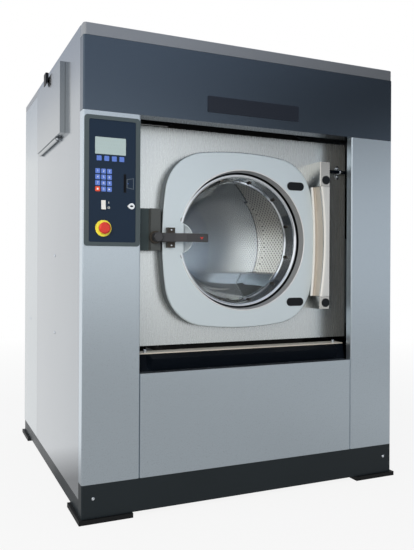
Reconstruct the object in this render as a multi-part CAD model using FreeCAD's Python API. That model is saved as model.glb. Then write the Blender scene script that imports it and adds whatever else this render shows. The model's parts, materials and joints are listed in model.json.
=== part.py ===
import FreeCAD, Part
import math
import os

# Large front-loading washer-extractor on a sprung tub.
# Millimetres, +Z up, +X to the right seen from the front, the front faces -Y.
# The origin is on the floor at the centre of the casing's footprint.
# A "depth" is a distance behind the plane of the front panels.

Vector = FreeCAD.Vector
X_AXIS = Vector(1, 0, 0)
Y_AXIS = Vector(0, 1, 0)
Z_AXIS = Vector(0, 0, 1)
SIDES = (-1, 1)
FULL_TURN = 360
HEX_SIDES = 6

# Casing
case_width = 1310
case_depth = 1300
case_height = 1700
sheet = 2
panel_gap = 0.8
foot_thickness = 16
foot_size = 190
foot_overhang = 10
frame_height = 100
frame_flange = 70
frame_wall = 8
plinth_height = 114
side_panel_bottom = 70
cap_height = 42
cap_corner_radius = 12
cap_edge_radius = 3.5
fascia_height = 254
column_width = 205
outer_return = 45
inner_return = 31
fascia_return = 65
front_edge_radius = 6
lower_panel_height = 366
lower_panel_flange_depth = 90
panel_fold = 18
side_fold = 24
side_seam_depth = 916
rear_flange_height = 26
badge_width = 388
badge_height = 59
badge_rise = 37
badge_thickness = 3
badge_corner_radius = 3

# Sill and knee bumper below the door
bumper_height = 60
bumper_front_depth = 43
bumper_ridge = 27
bumper_ridge_rise = 46
bumper_top_depth = 56
bumper_end_block = 40
bumper_hip = 12
sill_thickness = 4
sill_back_depth = 115

# Control panel on the left column
bezel_width = 197
bezel_height = 445
bezel_drop = 17
bezel_proud = 5
bezel_corner_radius = 12
overlay_width = 165
overlay_height = 418
overlay_thickness = 3
overlay_corner_radius = 5
fit_gap = 0.2
display_width = 108
display_height = 58
display_thickness = 1.2
display_offset_x = -7.5
display_rise = 120
key_thickness = 0.8
key_corner_radius = 2
soft_key_size = 17
soft_key_count = 4
soft_key_pitch = 26.6
soft_key_offset_x = -7.6
soft_key_rise = 77
keypad_key_size = 16.5
keypad_columns = 3
keypad_rows = 4
keypad_pitch = 20.5
keypad_offset_x = -31.6
keypad_rise = 2.5
card_slot_width = 2.4
card_slot_height = 56
card_slot_depth = 15
card_body_width = 9
card_body_margin = 4
card_body_depth = 20
card_proud = 0.6
card_offset_x = 44
card_drop = 5
switch_row_drop = 83
rocker_offset_x = -32
rocker_width = 15
rocker_height = 32
rocker_proud = 2.6
rocker_depth = 11
rocker_tilt = 8
rocker_gap = 0.5
key_switch_offset_x = 68
key_switch_radius = 10.5
key_switch_proud = 3
key_slot_width = 2.6
key_slot_depth = 1.6
running_gap = 0.06
estop_offset_x = -32
estop_drop = 162
estop_disc_radius = 28
estop_disc_thickness = 3
estop_neck_radius = 15
estop_neck_height = 4.5
estop_barrel_radius = 11
estop_barrel_length = 40
estop_stem_radius = 6
estop_head_radius = 19.8
estop_head_height = 15.5
estop_head_edge = 5
estop_travel_room = 6

# Soap hopper on the left side
hopper_centre_depth = 558
hopper_width = 475
hopper_tub_lap = 147
hopper_top_drop = 65
hopper_height = 240
hopper_wall = 3
hopper_floor_fall = 60
hopper_notch = 22
compartment_count = 3
spout_radius = 25
spout_length = 60
spout_inset = 42
flap_margin = 22
flap_thickness = 19.4
flap_gap = 0.6
flap_top_drop = 50
flap_height = 271
flap_sheet = 2
hinge_rod_radius = 4
knuckle_radius = 7.5
hinge_rod_stand_off = 9
hinge_front_inset = 103
hinge_rear_inset = 12
hinge_ear = 6
hinge_ear_radius = 5.2
hinge_ball_radius = 5
pull_length = 44
pull_height = 50
pull_reach = 12
pull_lip = 3.2
pull_root_height = 24
pull_rise = 20

# Services at the rear
inlet_count = 3
inlet_pitch = 80
inlet_first_x = -420
inlet_drop = 140
inlet_radius = 13.2
inlet_bore_radius = 9
inlet_length = 26
inlet_stem_radius = 16
inlet_nut_radius = 22
inlet_nut_height = 8
valve_width = 52
valve_depth = 60
valve_height = 64
hole_gap = 0.5
drain_x = -150
drain_height = 190
drain_pipe_radius = 55
drain_cup_radius = 72
drain_cup_top = 300
drain_wall = 4
drain_length = 26
drain_run_radius = 57
drain_collar_radius = 66
drain_collar_height = 8
drain_depth = 560
drain_flange = 80
drain_flange_thickness = 5
louvre_count = 6
louvre_width = 260
louvre_height = 10
louvre_pitch = 26
louvre_x = 300
louvre_first_height = 330
inverter_tub_gap = 1
inverter_length = 320
inverter_height = 380
inverter_depth = 250
inverter_bottom = 620
inverter_fin_count = 7
inverter_fin = 12

# Tub, drum and drive
drum_axis_height = 977
drum_radius = 460
drum_wall = 3
drum_front_depth = 196
drum_back_gap = 65
drum_mouth_radius = 262
drum_lip_width = 10
drum_lip_depth = 12
lifter_count = 3
lifter_first_angle = -26
lifter_height = 72
lifter_base = 150
lifter_top = 62
lifter_end_gap = 4
seat_gap = 0.1
tub_radius = 520
tub_wall = 5
tub_front_depth = 150
tub_back_depth = 880
collar_radius = 300
housing_hole_radius = 75
plate_depth = 125
plate_thickness = 3
plate_half_width = 509
plate_bottom = 577
plate_top = 1396
plate_hole_radius = 285
seal_inner_radius = 272
seal_lip_radius = 295
seal_front_lip = 7.4
seal_rear_lip = 6
seal_gap = 0.3
spring_x = 465
damper_x = 376
front_spring_depth = 300
rear_spring_inset = 80
seat_inner_x = 345
seat_outer_x = 515
seat_length = 100
seat_thickness = 12
gusset_thickness = 10
spring_bottom = 230
spring_top = 470
spring_radius = 48
spring_waist = 8
spring_bulge_count = 3
damper_body_radius = 24
damper_body_length = 160
damper_rod_radius = 9
damper_rod_overlap = 80
damper_foot = 20
inlet_cup_radius = 45
inlet_cup_wall = 3
inlet_cup_top = 1372
stub_radius = 48
stub_wall = 4
stub_bottom = 285
drain_valve_radius = 76
drain_valve_height = 80
actuator_width = 80
actuator_length = 90
actuator_height = 60
shaft_radius = 40
shaft_end_depth = 1130
spider_hub_radius = 85
spider_hub_gap = 18
spider_arm_reach = 430
spider_arm_width = 70
spider_tip_thickness = 18
housing_flange_radius = 180
housing_flange_thickness = 15
housing_radius = 95
housing_end_depth = 1058
housing_rib_count = 6
housing_rib_thickness = 12
bearing_radius = 70
bearing_width = 36
housing_core_radius = 58
pulley_depth = 1075
pulley_width = 50
drum_pulley_radius = 230
pulley_rim = 12
pulley_web = 12
pulley_hub_radius = 60
pulley_hole_count = 6
pulley_hole_radius = 42
pulley_hole_circle = 140
motor_x = 180
motor_drop = 127
motor_radius = 120
motor_core_radius = 108
motor_front_depth = 740
motor_back_depth = 1040
motor_shield_length = 60
motor_fin_count = 20
motor_fin_width = 4
motor_strap = 22
motor_strap_width = 12
motor_saddle_width = 110
motor_saddle_lap = 10
motor_shaft_radius = 19
motor_shaft_hold = 50
motor_pulley_radius = 55
motor_pulley_flange = 4
belt_thickness = 6
belt_width = 42
belt_gap = 0.3

# Door, its hinge and its lever
door_depth = 76
door_rim = 45
door_sheet = 2.5
door_left_half = 343
door_right_half = 320
door_half_height = 341
door_side_radius = 1250
door_corner_radius = 170
door_edge_radius = 5
port_radius = 273
tongue_reach = 16
tongue_half_height = 56
tongue_corner_radius = 10
tongue_relief_radius = 11
ring_flange_radius = 300
ring_wall = 4
ring_bead_radius = 9.5
ring_bead_centre_radius = 257
ring_bead_depth = 122
ring_throat_radius = 265
ring_throat_depth = 115
ring_bore_front_radius = 250
ring_bore_front_depth = 129
ring_bore_back_radius = 243
ring_bore_back_depth = 172
ring_seat_radius = 238
ring_seat_depth = 178
ring_back_depth = 183
ring_outer_front_radius = 268
ring_outer_back_radius = 250
ring_seal_flange_radius = 296
ring_seal_flange_depth = 117
clip_count = 12
clip_first_angle = 15
clip_angle = 2.6
clip_front_depth = 150
clip_thickness = 3.5
glass_thickness = 8
glass_edge_radius = 247
glass_bowl_front_radius = 232
glass_bowl_back_radius = 200
glass_bowl_depth = 300
glass_round_radius = 30
plug_length = 77
plug_height = 33
plug_proud = 2.5
plug_x = 230
upper_plug_rise = 222
lower_plug_drop = 245
hinge_x = 337
hinge_depth = 45
lower_hinge_drop = 223
upper_hinge_gap = 106
hinge_pin_radius = 12
hinge_pin_length = 30
hinge_end_gap = 1.5
hinge_front_depth = 25
hinge_left_reach = 22.5
hinge_right_reach = 25.5
upper_box_height = 98
lower_box_height = 50
box_edge_radius = 4
round_plug_radius = 17.5
round_plug_proud = 2.5
round_plug_inset = 25
round_plug_offset_x = 6
post_waist = 18
post_back_depth = 112
post_base_gap = 3
post_flange_reach = 16
post_flange_thickness = 3
post_flange_inset = 16
lead_radius = 6.5
lead_bend_radius = 24
lead_inset = 75
lead_exit_gap = 16
lead_tail = 18
gland_length = 14
gland_radius = 10
lock_box_left = 452
lock_box_clearance = 11
lock_box_depth = 60
lock_box_step_depth = 72
lock_box_step_x = 391
lock_box_bevel = 5
lock_box_top_rise = 107
lock_box_drop = 46
lock_port_radius = 14
lock_port_depth = 26
lever_pivot_x = 377
lever_rise = 2
lever_height = 31
lever_length = 195
lever_thickness = 14
lever_front_depth = 18
lever_joggle = 12
lever_joggle_start = 70
lever_joggle_end = 109
lever_hub_radius = 17
lever_hub_front_depth = 12
lever_hub_edge = 3
lever_end_radius = 4
lever_spindle_radius = 8
lever_spindle_length = 30
bracket_depth = 46.5
bracket_thickness = 11
bracket_boss_radius = 23
bracket_half_height = 17
keeper_left = 327
keeper_right = 298
keeper_half_height = 37
guard_centre_x = 276
guard_radius = 62
guard_centre_depth = 58
guard_thickness = 2.5

# Worked out from the sizes above
half_width = case_width / 2
front_y = -case_depth / 2
rear_y = case_depth / 2
frame_bottom = foot_thickness
frame_top = frame_bottom + frame_height
plinth_top = foot_thickness + plinth_height
cap_bottom = case_height - cap_height
fascia_bottom = cap_bottom - fascia_height
lower_panel_top = plinth_top + lower_panel_height
bumper_top = lower_panel_top + bumper_height
opening_half = half_width - column_width
bezel_x = -half_width + column_width / 2
bezel_z = fascia_bottom - bezel_drop - bezel_height / 2
switch_row_z = bezel_z - switch_row_drop
rocker_x = bezel_x + rocker_offset_x
key_switch_x = bezel_x + key_switch_offset_x
estop_x = bezel_x + estop_offset_x
estop_z = bezel_z - estop_drop
card_x = bezel_x + card_offset_x
card_z = bezel_z - card_drop
plate_back = plate_depth + plate_thickness
drum_z = drum_axis_height
upper_span_z = fascia_bottom - upper_hinge_gap - upper_box_height
lower_span_z = drum_z - lower_hinge_drop
lead_z = upper_span_z + lead_inset
lead_exit_x = plate_half_width + lead_exit_gap
lever_z = drum_z + lever_rise
motor_height = drum_z - tub_radius - motor_drop
belt_middle_depth = pulley_depth + pulley_width / 2
drum_back_depth = tub_back_depth - drum_back_gap
spider_hub_depth = tub_back_depth - spider_hub_gap
rear_spring_depth = tub_back_depth - rear_spring_inset


def y_at(depth):
    """Y of a point this far behind the front panels."""
    return front_y + depth


hopper_y = y_at(hopper_centre_depth)
hopper_top = case_height - hopper_top_drop
hopper_bottom = hopper_top - hopper_height
hopper_inner_x = -tub_radius + hopper_tub_lap
spout_x = hopper_inner_x - spout_inset
drain_valve_bottom = (drum_z - tub_radius + drain_cup_top - drain_valve_height) / 2
flap_top = case_height - flap_top_drop
flap_bottom = flap_top - flap_height
flap_half = hopper_width / 2 + flap_margin
flap_outer_x = -half_width - flap_gap - flap_thickness
hinge_rod_x = -half_width - hinge_rod_stand_off
hinge_rod_z = flap_bottom - knuckle_radius + flap_sheet
roll_front = hopper_y - flap_half + hinge_front_inset
roll_rear = hopper_y + flap_half - hinge_rear_inset
spring_rows = (y_at(front_spring_depth), y_at(rear_spring_depth))


def block(x0, x1, y0, y1, z0, z1):
    """A box between two corners."""
    return Part.makeBox(x1 - x0, y1 - y0, z1 - z0, Vector(x0, y0, z0))


def side_block(side, near, far, y0, y1, z0, z1):
    """A box on the left (-1) or right (1), given by its distances from the middle."""
    if side < 0:
        return block(-far, -near, y0, y1, z0, z1)
    return block(near, far, y0, y1, z0, z1)


def rod_x(radius, y, z, x0, x1):
    return Part.makeCylinder(radius, x1 - x0, Vector(x0, y, z), X_AXIS)


def rod_y(radius, x, z, y0, y1):
    return Part.makeCylinder(radius, y1 - y0, Vector(x, y0, z), Y_AXIS)


def rod_z(radius, x, y, z0, z1):
    return Part.makeCylinder(radius, z1 - z0, Vector(x, y, z0), Z_AXIS)


def loop_face(points):
    """A flat face inside a closed loop of straight edges."""
    return Part.Face(Part.makePolygon(points + points[:1]))


def prism_x(points, x0, x1):
    """Points are (y, z) pairs."""
    face = loop_face([Vector(x0, y, z) for y, z in points])
    return face.extrude(Vector(x1 - x0, 0, 0))


def prism_y(points, y0, y1):
    """Points are (x, z) pairs."""
    face = loop_face([Vector(x, y0, z) for x, z in points])
    return face.extrude(Vector(0, y1 - y0, 0))


def prism_z(points, z0, z1):
    """Points are (x, y) pairs."""
    face = loop_face([Vector(x, y, z0) for x, y in points])
    return face.extrude(Vector(0, 0, z1 - z0))


def line(start, end):
    return Part.LineSegment(start, end).toShape()


def arc(start, middle, end):
    return Part.Arc(start, middle, end).toShape()


def rounded_slab(x, z, width, height, radius, y0, y1):
    """An upright slab with rounded corners, given by its middle, sizes and two Y faces."""
    half_w = width / 2
    half_h = height / 2
    edges = []
    corners = ((1, 1), (-1, 1), (-1, -1), (1, -1))
    ends = []
    for turn, (sx, sz) in enumerate(corners):
        centre = Vector(x + sx * (half_w - radius), y0, z + sz * (half_h - radius))
        spots = []
        for step in (0, 45, 90):
            angle = math.radians(turn * 90 + step)
            spots.append(centre + Vector(math.cos(angle), 0, math.sin(angle)) * radius)
        edges.append(arc(*spots))
        ends.append(spots)
    for turn in range(len(corners)):
        start = ends[turn][2]
        end = ends[(turn + 1) % len(corners)][0]
        if start.distanceToPoint(end) > fit_gap:
            edges.append(line(start, end))
    wire = Part.Wire(Part.__sortEdges__(edges))
    return Part.Face(wire).extrude(Vector(0, y1 - y0, 0))


def spin_y(points, x, z):
    """A turned solid about a line along Y, from (radius, y) pairs."""
    face = loop_face([Vector(x + radius, y, z) for radius, y in points])
    return face.revolve(Vector(x, 0, z), Y_AXIS, FULL_TURN)


def spin_z(points, x, y):
    """A turned solid about an upright line, from (radius, z) pairs."""
    face = loop_face([Vector(x + radius, y, z) for radius, z in points])
    return face.revolve(Vector(x, y, 0), Z_AXIS, FULL_TURN)


def about_drum(shape, angle):
    """A copy turned about the drum's axis; a positive angle lifts +X towards +Z."""
    copy = shape.copy()
    copy.rotate(Vector(0, 0, drum_z), Y_AXIS, -angle)
    return copy


def joined(shapes):
    """One solid out of pieces that are welded or moulded together."""
    whole = shapes[0].fuse(shapes[1:])
    return whole.removeSplitter()


def save(name, shapes):
    """Writes one node as a STEP file; a list is a group of separate solids."""
    if isinstance(shapes, list):
        shapes = Part.makeCompound(shapes)
    if not shapes.isValid():
        raise ValueError(name + " is not a valid shape")
    shapes.exportStep("parts/" + name + ".step")


def foot_plates():
    plates = []
    outer_x = half_width + foot_overhang
    outer_y = rear_y + foot_overhang
    for side in SIDES:
        plates.append(side_block(side, outer_x - foot_size, outer_x, -outer_y, -outer_y + foot_size,
                                 0, foot_thickness))
        plates.append(side_block(side, outer_x - foot_size, outer_x, outer_y - foot_size, outer_y,
                                 0, foot_thickness))
    return plates


def pedestal(side, row_y):
    """A bent bridge on the frame that carries a spring and a damper."""
    half = seat_length / 2
    bridge = side_block(side, seat_inner_x, seat_outer_x, row_y - half, row_y + half,
                        frame_top, spring_bottom)
    tunnel = side_block(side, seat_inner_x + frame_wall, seat_outer_x - frame_wall,
                        row_y - half, row_y + half, frame_top, spring_bottom - frame_wall)
    return bridge.cut(tunnel)


def base_frame():
    """A ring of channel section with two inner rails and four spring pedestals."""
    outer_x = half_width - sheet
    outer_y = rear_y - sheet
    hole_x = outer_x - frame_flange
    hole_y = outer_y - frame_flange
    web_x = outer_x - frame_wall
    web_y = outer_y - frame_wall
    ring = block(-outer_x, outer_x, -outer_y, outer_y, frame_bottom, frame_top)
    ring = ring.cut(block(-hole_x, hole_x, -hole_y, hole_y, frame_bottom, frame_top))
    ring = ring.cut(block(-web_x, web_x, -web_y, web_y, frame_bottom + frame_wall, frame_top - frame_wall))
    pieces = [ring]
    for side in SIDES:
        rail = side_block(side, seat_inner_x, seat_outer_x, -hole_y, hole_y, frame_bottom, frame_top)
        hollow = side_block(side, seat_inner_x + frame_wall, seat_outer_x - frame_wall, -hole_y, hole_y,
                            frame_bottom, frame_top - frame_wall)
        pieces.append(rail.cut(hollow))
        for row_y in spring_rows:
            pieces.append(pedestal(side, row_y))
    return joined(pieces)


def corner_arc(x, y, z, radius, toward_x, start_on_side):
    """A quarter arc of a front corner: from its side face to its front face, or back."""
    half = radius * math.sqrt(0.5)
    side_point = Vector(x - toward_x * radius, y, z)
    front_point = Vector(x, y - radius, z)
    middle = Vector(x - toward_x * half, y - half, z)
    if start_on_side:
        return arc(side_point, middle, front_point)
    return arc(front_point, middle, side_point)


def front_channel(x0, x1, z0, z1, left, right, radius):
    """Folded sheet seen from the front, with side returns and rounded upright edges."""
    inner_radius = radius - sheet
    turn_y = front_y + radius
    left_turn = x0 + radius
    right_turn = x1 - radius
    left_inner = x0 + sheet
    right_inner = x1 - sheet
    left_y = front_y + left
    right_y = front_y + right
    inner_y = front_y + sheet
    edges = [
        line(Vector(x0, left_y, z0), Vector(x0, turn_y, z0)),
        corner_arc(left_turn, turn_y, z0, radius, 1, True),
        line(Vector(left_turn, front_y, z0), Vector(right_turn, front_y, z0)),
        corner_arc(right_turn, turn_y, z0, radius, -1, False),
        line(Vector(x1, turn_y, z0), Vector(x1, right_y, z0)),
        line(Vector(x1, right_y, z0), Vector(right_inner, right_y, z0)),
        line(Vector(right_inner, right_y, z0), Vector(right_inner, turn_y, z0)),
        corner_arc(right_turn, turn_y, z0, inner_radius, -1, True),
        line(Vector(right_turn, inner_y, z0), Vector(left_turn, inner_y, z0)),
        corner_arc(left_turn, turn_y, z0, inner_radius, 1, False),
        line(Vector(left_inner, turn_y, z0), Vector(left_inner, left_y, z0)),
        line(Vector(left_inner, left_y, z0), Vector(x0, left_y, z0)),
    ]
    return Part.Face(Part.Wire(edges)).extrude(Vector(0, 0, z1 - z0))


def level_fold(x0, x1, depth, z):
    """A level fold behind a front panel, from the panel's back to this depth."""
    return block(x0, x1, front_y + sheet, y_at(depth), z, z + sheet)


def plinth_panel():
    face = front_channel(-half_width, half_width, frame_bottom, plinth_top, outer_return, outer_return,
                         front_edge_radius)
    inner = half_width - front_edge_radius
    fold = block(-inner, inner, front_y + sheet, y_at(panel_fold), plinth_top - sheet, plinth_top)
    return joined([face, fold]).cut(base_frame_envelope())


def base_frame_envelope():
    """The outside of the frame's ring, which the plinth's returns clear."""
    outer_x = half_width - sheet
    outer_y = rear_y - sheet
    return block(-outer_x, outer_x, -outer_y, outer_y, frame_bottom, frame_top)


def header_fascia():
    face = front_channel(-half_width, half_width, fascia_bottom, cap_bottom - panel_gap,
                         outer_return, outer_return, front_edge_radius)
    inner = half_width - side_fold - panel_gap
    return joined([face, level_fold(-inner, inner, fascia_return, fascia_bottom)])


def badge_plate():
    """A bare plate on the header fascia."""
    z = fascia_bottom + badge_rise + badge_height / 2
    return rounded_slab(0, z, badge_width, badge_height, badge_corner_radius,
                        front_y - badge_thickness, front_y)


def top_cover():
    """The roof sheet, with a front lip that turns round the corners and a skirt round its rear half."""
    lip = front_channel(-half_width, half_width, cap_bottom, case_height, outer_return, outer_return,
                        cap_corner_radius)
    corner = half_width - cap_corner_radius
    turn_y = front_y + cap_corner_radius
    edges = [
        corner_arc(-corner, turn_y, case_height - sheet, cap_corner_radius, 1, True),
        line(Vector(-corner, front_y, case_height - sheet), Vector(corner, front_y, case_height - sheet)),
        corner_arc(corner, turn_y, case_height - sheet, cap_corner_radius, -1, False),
        line(Vector(half_width, turn_y, case_height - sheet),
             Vector(half_width, y_at(outer_return), case_height - sheet)),
        line(Vector(half_width, y_at(outer_return), case_height - sheet),
             Vector(-half_width, y_at(outer_return), case_height - sheet)),
        line(Vector(-half_width, y_at(outer_return), case_height - sheet),
             Vector(-half_width, turn_y, case_height - sheet)),
    ]
    nose = Part.Face(Part.Wire(edges)).extrude(Vector(0, 0, sheet))
    cap = joined([lip, nose])
    rim = [edge for edge in cap.Edges if on_cap_rim(edge)]
    cap = cap.makeFillet(cap_edge_radius, rim)
    inner = half_width - sheet - fit_gap
    roof = block(-inner, inner, y_at(outer_return), rear_y, case_height - sheet, case_height)
    skirt_bottom = case_height - rear_flange_height
    skirt = block(-half_width, half_width, rear_y - sheet, rear_y, skirt_bottom, case_height)
    pieces = [cap, roof, skirt]
    flange_front = y_at(side_seam_depth) + panel_gap
    for side in SIDES:
        pieces.append(side_block(side, inner - sheet, half_width, flange_front, rear_y,
                                 case_height - sheet, case_height))
        pieces.append(side_block(side, half_width - sheet, half_width, flange_front, rear_y,
                                 skirt_bottom, case_height))
    return joined(pieces)


def on_cap_rim(edge):
    """Whether an edge runs round the outside of the cap's top."""
    box = edge.BoundBox
    level = box.ZMin > case_height - fit_gap
    back_edge = box.YMin > y_at(outer_return) - fit_gap
    return level and not back_edge


def side_sheet(side, y0, y1, z0, z1):
    """A side panel with a fold at its front and its rear edge."""
    skin = side_block(side, half_width - sheet, half_width, y0, y1, z0, z1)
    folds = []
    for start in (y0, y1 - sheet):
        folds.append(side_block(side, half_width - side_fold, half_width - sheet, start, start + sheet,
                                frame_top + panel_gap, z1 - side_fold))
    return joined([skin] + folds)


def left_side_panel():
    panel = side_sheet(-1, y_at(outer_return) + panel_gap, y_at(side_seam_depth), side_panel_bottom,
                       case_height)
    half = hopper_width / 2 - hopper_wall
    window = side_block(-1, half_width - sheet, half_width, hopper_y - half, hopper_y + half,
                        hopper_bottom + hopper_wall, hopper_top - hopper_wall)
    return panel.cut(window)


def right_side_panel():
    return side_sheet(1, y_at(outer_return) + panel_gap, y_at(side_seam_depth), side_panel_bottom,
                      case_height)


def rear_side_panels():
    panels = []
    top = case_height - rear_flange_height - panel_gap
    for side in SIDES:
        panels.append(side_sheet(side, y_at(side_seam_depth) + panel_gap, rear_y - sheet, side_panel_bottom,
                                 top))
    return panels


def inlet_places():
    z = case_height - inlet_drop
    return [(inlet_first_x + step * inlet_pitch, z) for step in range(inlet_count)]


def rear_panel():
    panel = block(-half_width, half_width, rear_y - sheet, rear_y, side_panel_bottom,
                  case_height - rear_flange_height - panel_gap)
    for x, z in inlet_places():
        panel = panel.cut(rod_y(inlet_stem_radius + hole_gap, x, z, rear_y - sheet, rear_y))
    panel = panel.cut(rod_y(drain_run_radius + hole_gap, drain_x, drain_height, rear_y - sheet, rear_y))
    for step in range(louvre_count):
        z = louvre_first_height + step * louvre_pitch
        panel = panel.cut(rounded_slab(louvre_x, z, louvre_width, louvre_height, louvre_height / 2 - fit_gap,
                                       rear_y - sheet, rear_y))
    return panel


def plain_column(side):
    """A front column: a deep return at the casing's side and a shallow one at the opening."""
    z0 = plinth_top + panel_gap
    z1 = fascia_bottom - panel_gap
    if side < 0:
        return front_channel(-half_width, -opening_half, z0, z1, outer_return, inner_return,
                             front_edge_radius)
    return front_channel(opening_half, half_width, z0, z1, inner_return, outer_return, front_edge_radius)


def switch_holes(y0, y1):
    """The holes for what passes through the overlay and the column behind it."""
    rocker = block(rocker_x - rocker_width / 2 - rocker_gap, rocker_x + rocker_width / 2 + rocker_gap, y0, y1,
                   switch_row_z - rocker_height / 2 - rocker_gap,
                   switch_row_z + rocker_height / 2 + rocker_gap)
    half_card = card_body_width / 2 + fit_gap
    half_slot = card_slot_height / 2 + card_body_margin + fit_gap
    card = block(card_x - half_card, card_x + half_card, y0, y1, card_z - half_slot, card_z + half_slot)
    lock = rod_y(key_switch_radius + running_gap, key_switch_x, switch_row_z, y0, y1)
    stop = rod_y(estop_barrel_radius + fit_gap, estop_x, estop_z, y0, y1)
    return [rocker, card, lock, stop]


def control_column():
    return plain_column(-1).cut(switch_holes(front_y, front_y + sheet))


def right_column():
    return plain_column(1)


def lower_front_panel():
    half = opening_half - panel_gap
    z0 = plinth_top + panel_gap
    face = front_channel(-half, half, z0, lower_panel_top, panel_fold, panel_fold, front_edge_radius)
    inner = half - front_edge_radius
    return joined([face, level_fold(-inner, inner, lower_panel_flange_depth, lower_panel_top - sheet)])


def knee_bumper():
    """A moulded bar with a ridge between two plain end blocks and a hip at each end of the ridge."""
    half = opening_half - panel_gap
    ridge_end = half - bumper_end_block
    back = y_at(sill_back_depth - panel_fold)
    foot = y_at(bumper_front_depth)
    top = y_at(bumper_top_depth)
    nose = y_at(bumper_front_depth - bumper_ridge)
    ridge_z = lower_panel_top + bumper_ridge_rise
    flat_y = foot + (top - foot) * bumper_ridge_rise / bumper_height

    def section(x, ridge_y):
        points = [Vector(x, foot, lower_panel_top), Vector(x, ridge_y, ridge_z), Vector(x, top, bumper_top),
                  Vector(x, back, bumper_top), Vector(x, back, lower_panel_top)]
        return Part.makePolygon(points + points[:1])

    hip_end = ridge_end - bumper_hip
    stations = [section(-ridge_end, flat_y - fit_gap), section(-hip_end, nose), section(hip_end, nose),
                section(ridge_end, flat_y - fit_gap)]
    bar = [Part.makeLoft([start, end], True, True) for start, end in zip(stations, stations[1:])]
    for side in SIDES:
        flat = [(foot, lower_panel_top), (top, bumper_top), (back, bumper_top), (back, lower_panel_top)]
        bar.append(prism_x(flat, side * ridge_end, side * half))
    return joined(bar)


def sill_strip():
    half = opening_half - panel_gap
    return block(-half, half, y_at(bumper_top_depth), y_at(sill_back_depth), bumper_top,
                 bumper_top + sill_thickness)


def control_bezel():
    frame = rounded_slab(bezel_x, bezel_z, bezel_width, bezel_height, bezel_corner_radius,
                         front_y - bezel_proud, front_y)
    window = rounded_slab(bezel_x, bezel_z, overlay_width, overlay_height, overlay_corner_radius,
                          front_y - bezel_proud, front_y)
    return frame.cut(window)


def control_overlay():
    """The flexible key overlay with the cut-outs for the switches."""
    skin = rounded_slab(bezel_x, bezel_z, overlay_width - 2 * fit_gap, overlay_height - 2 * fit_gap,
                        overlay_corner_radius, front_y - overlay_thickness, front_y)
    return skin.cut(switch_holes(front_y - overlay_thickness, front_y))


def display_window():
    face = front_y - overlay_thickness
    return rounded_slab(bezel_x + display_offset_x, bezel_z + display_rise, display_width, display_height,
                        key_corner_radius, face - display_thickness, face)


def keypad_keys():
    """Raised key pads of the overlay: one row under the display and a block of rows."""
    face = front_y - overlay_thickness
    keys = []
    for column in range(soft_key_count):
        x = bezel_x + soft_key_offset_x + (column - (soft_key_count - 1) / 2) * soft_key_pitch
        keys.append(rounded_slab(x, bezel_z + soft_key_rise, soft_key_size, soft_key_size, key_corner_radius,
                                 face - key_thickness, face))
    for column in range(keypad_columns):
        x = bezel_x + keypad_offset_x + (column - (keypad_columns - 1) / 2) * keypad_pitch
        for row in range(keypad_rows):
            z = bezel_z + keypad_rise + ((keypad_rows - 1) / 2 - row) * keypad_pitch
            keys.append(rounded_slab(x, z, keypad_key_size, keypad_key_size, key_corner_radius,
                                     face - key_thickness, face))
    return keys


def card_reader():
    half = card_slot_height / 2 + card_body_margin
    face = front_y - overlay_thickness - card_proud
    body = block(card_x - card_body_width / 2, card_x + card_body_width / 2, face, y_at(card_body_depth),
                 card_z - half, card_z + half)
    slot = block(card_x - card_slot_width / 2, card_x + card_slot_width / 2, face, face + card_slot_depth,
                 card_z - card_slot_height / 2, card_z + card_slot_height / 2)
    return body.cut(slot)


def rocker_pivot():
    return Vector(rocker_x, front_y, switch_row_z)


def power_rocker():
    """A two-faced rocker, shown tilted to its first position."""
    face = front_y - overlay_thickness - rocker_proud
    half = rocker_height / 2
    dip = half * math.tan(math.radians(rocker_tilt))
    back = y_at(rocker_depth)
    points = [(face - dip / 2, switch_row_z + half), (face + dip / 2, switch_row_z),
              (face - dip / 2, switch_row_z - half), (back, switch_row_z - half / 2),
              (back, switch_row_z + half / 2)]
    body = prism_x(points, rocker_x - rocker_width / 2, rocker_x + rocker_width / 2)
    body.rotate(rocker_pivot(), X_AXIS, -rocker_tilt)
    return body


def key_switch():
    face = front_y - overlay_thickness - key_switch_proud
    barrel = rod_y(key_switch_radius, key_switch_x, switch_row_z, face, y_at(card_body_depth))
    slot = block(key_switch_x - key_switch_radius, key_switch_x, face, face + key_slot_depth,
                 switch_row_z - key_slot_width / 2, switch_row_z + key_slot_width / 2)
    return barrel.cut(slot)


def estop_collar():
    face = front_y - overlay_thickness
    disc = face - estop_disc_thickness
    neck = disc - estop_neck_height
    end = y_at(estop_barrel_length)
    bore = estop_stem_radius + running_gap
    points = [(bore, neck), (estop_neck_radius, neck), (estop_neck_radius, disc), (estop_disc_radius, disc),
              (estop_disc_radius, face), (estop_barrel_radius, face), (estop_barrel_radius, end), (bore, end)]
    return spin_y(points, estop_x, estop_z)


def estop_button():
    neck = front_y - overlay_thickness - estop_disc_thickness - estop_neck_height
    back = neck - estop_travel_room
    front = back - estop_head_height
    end = y_at(estop_barrel_length) - estop_travel_room
    rim = estop_head_radius
    shoulder = rim - estop_head_edge
    points = [(0, front), (shoulder, front), (rim, front + estop_head_edge), (rim, back),
              (estop_stem_radius, back), (estop_stem_radius, end), (0, end)]
    return spin_y(points, estop_x, estop_z)


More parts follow.
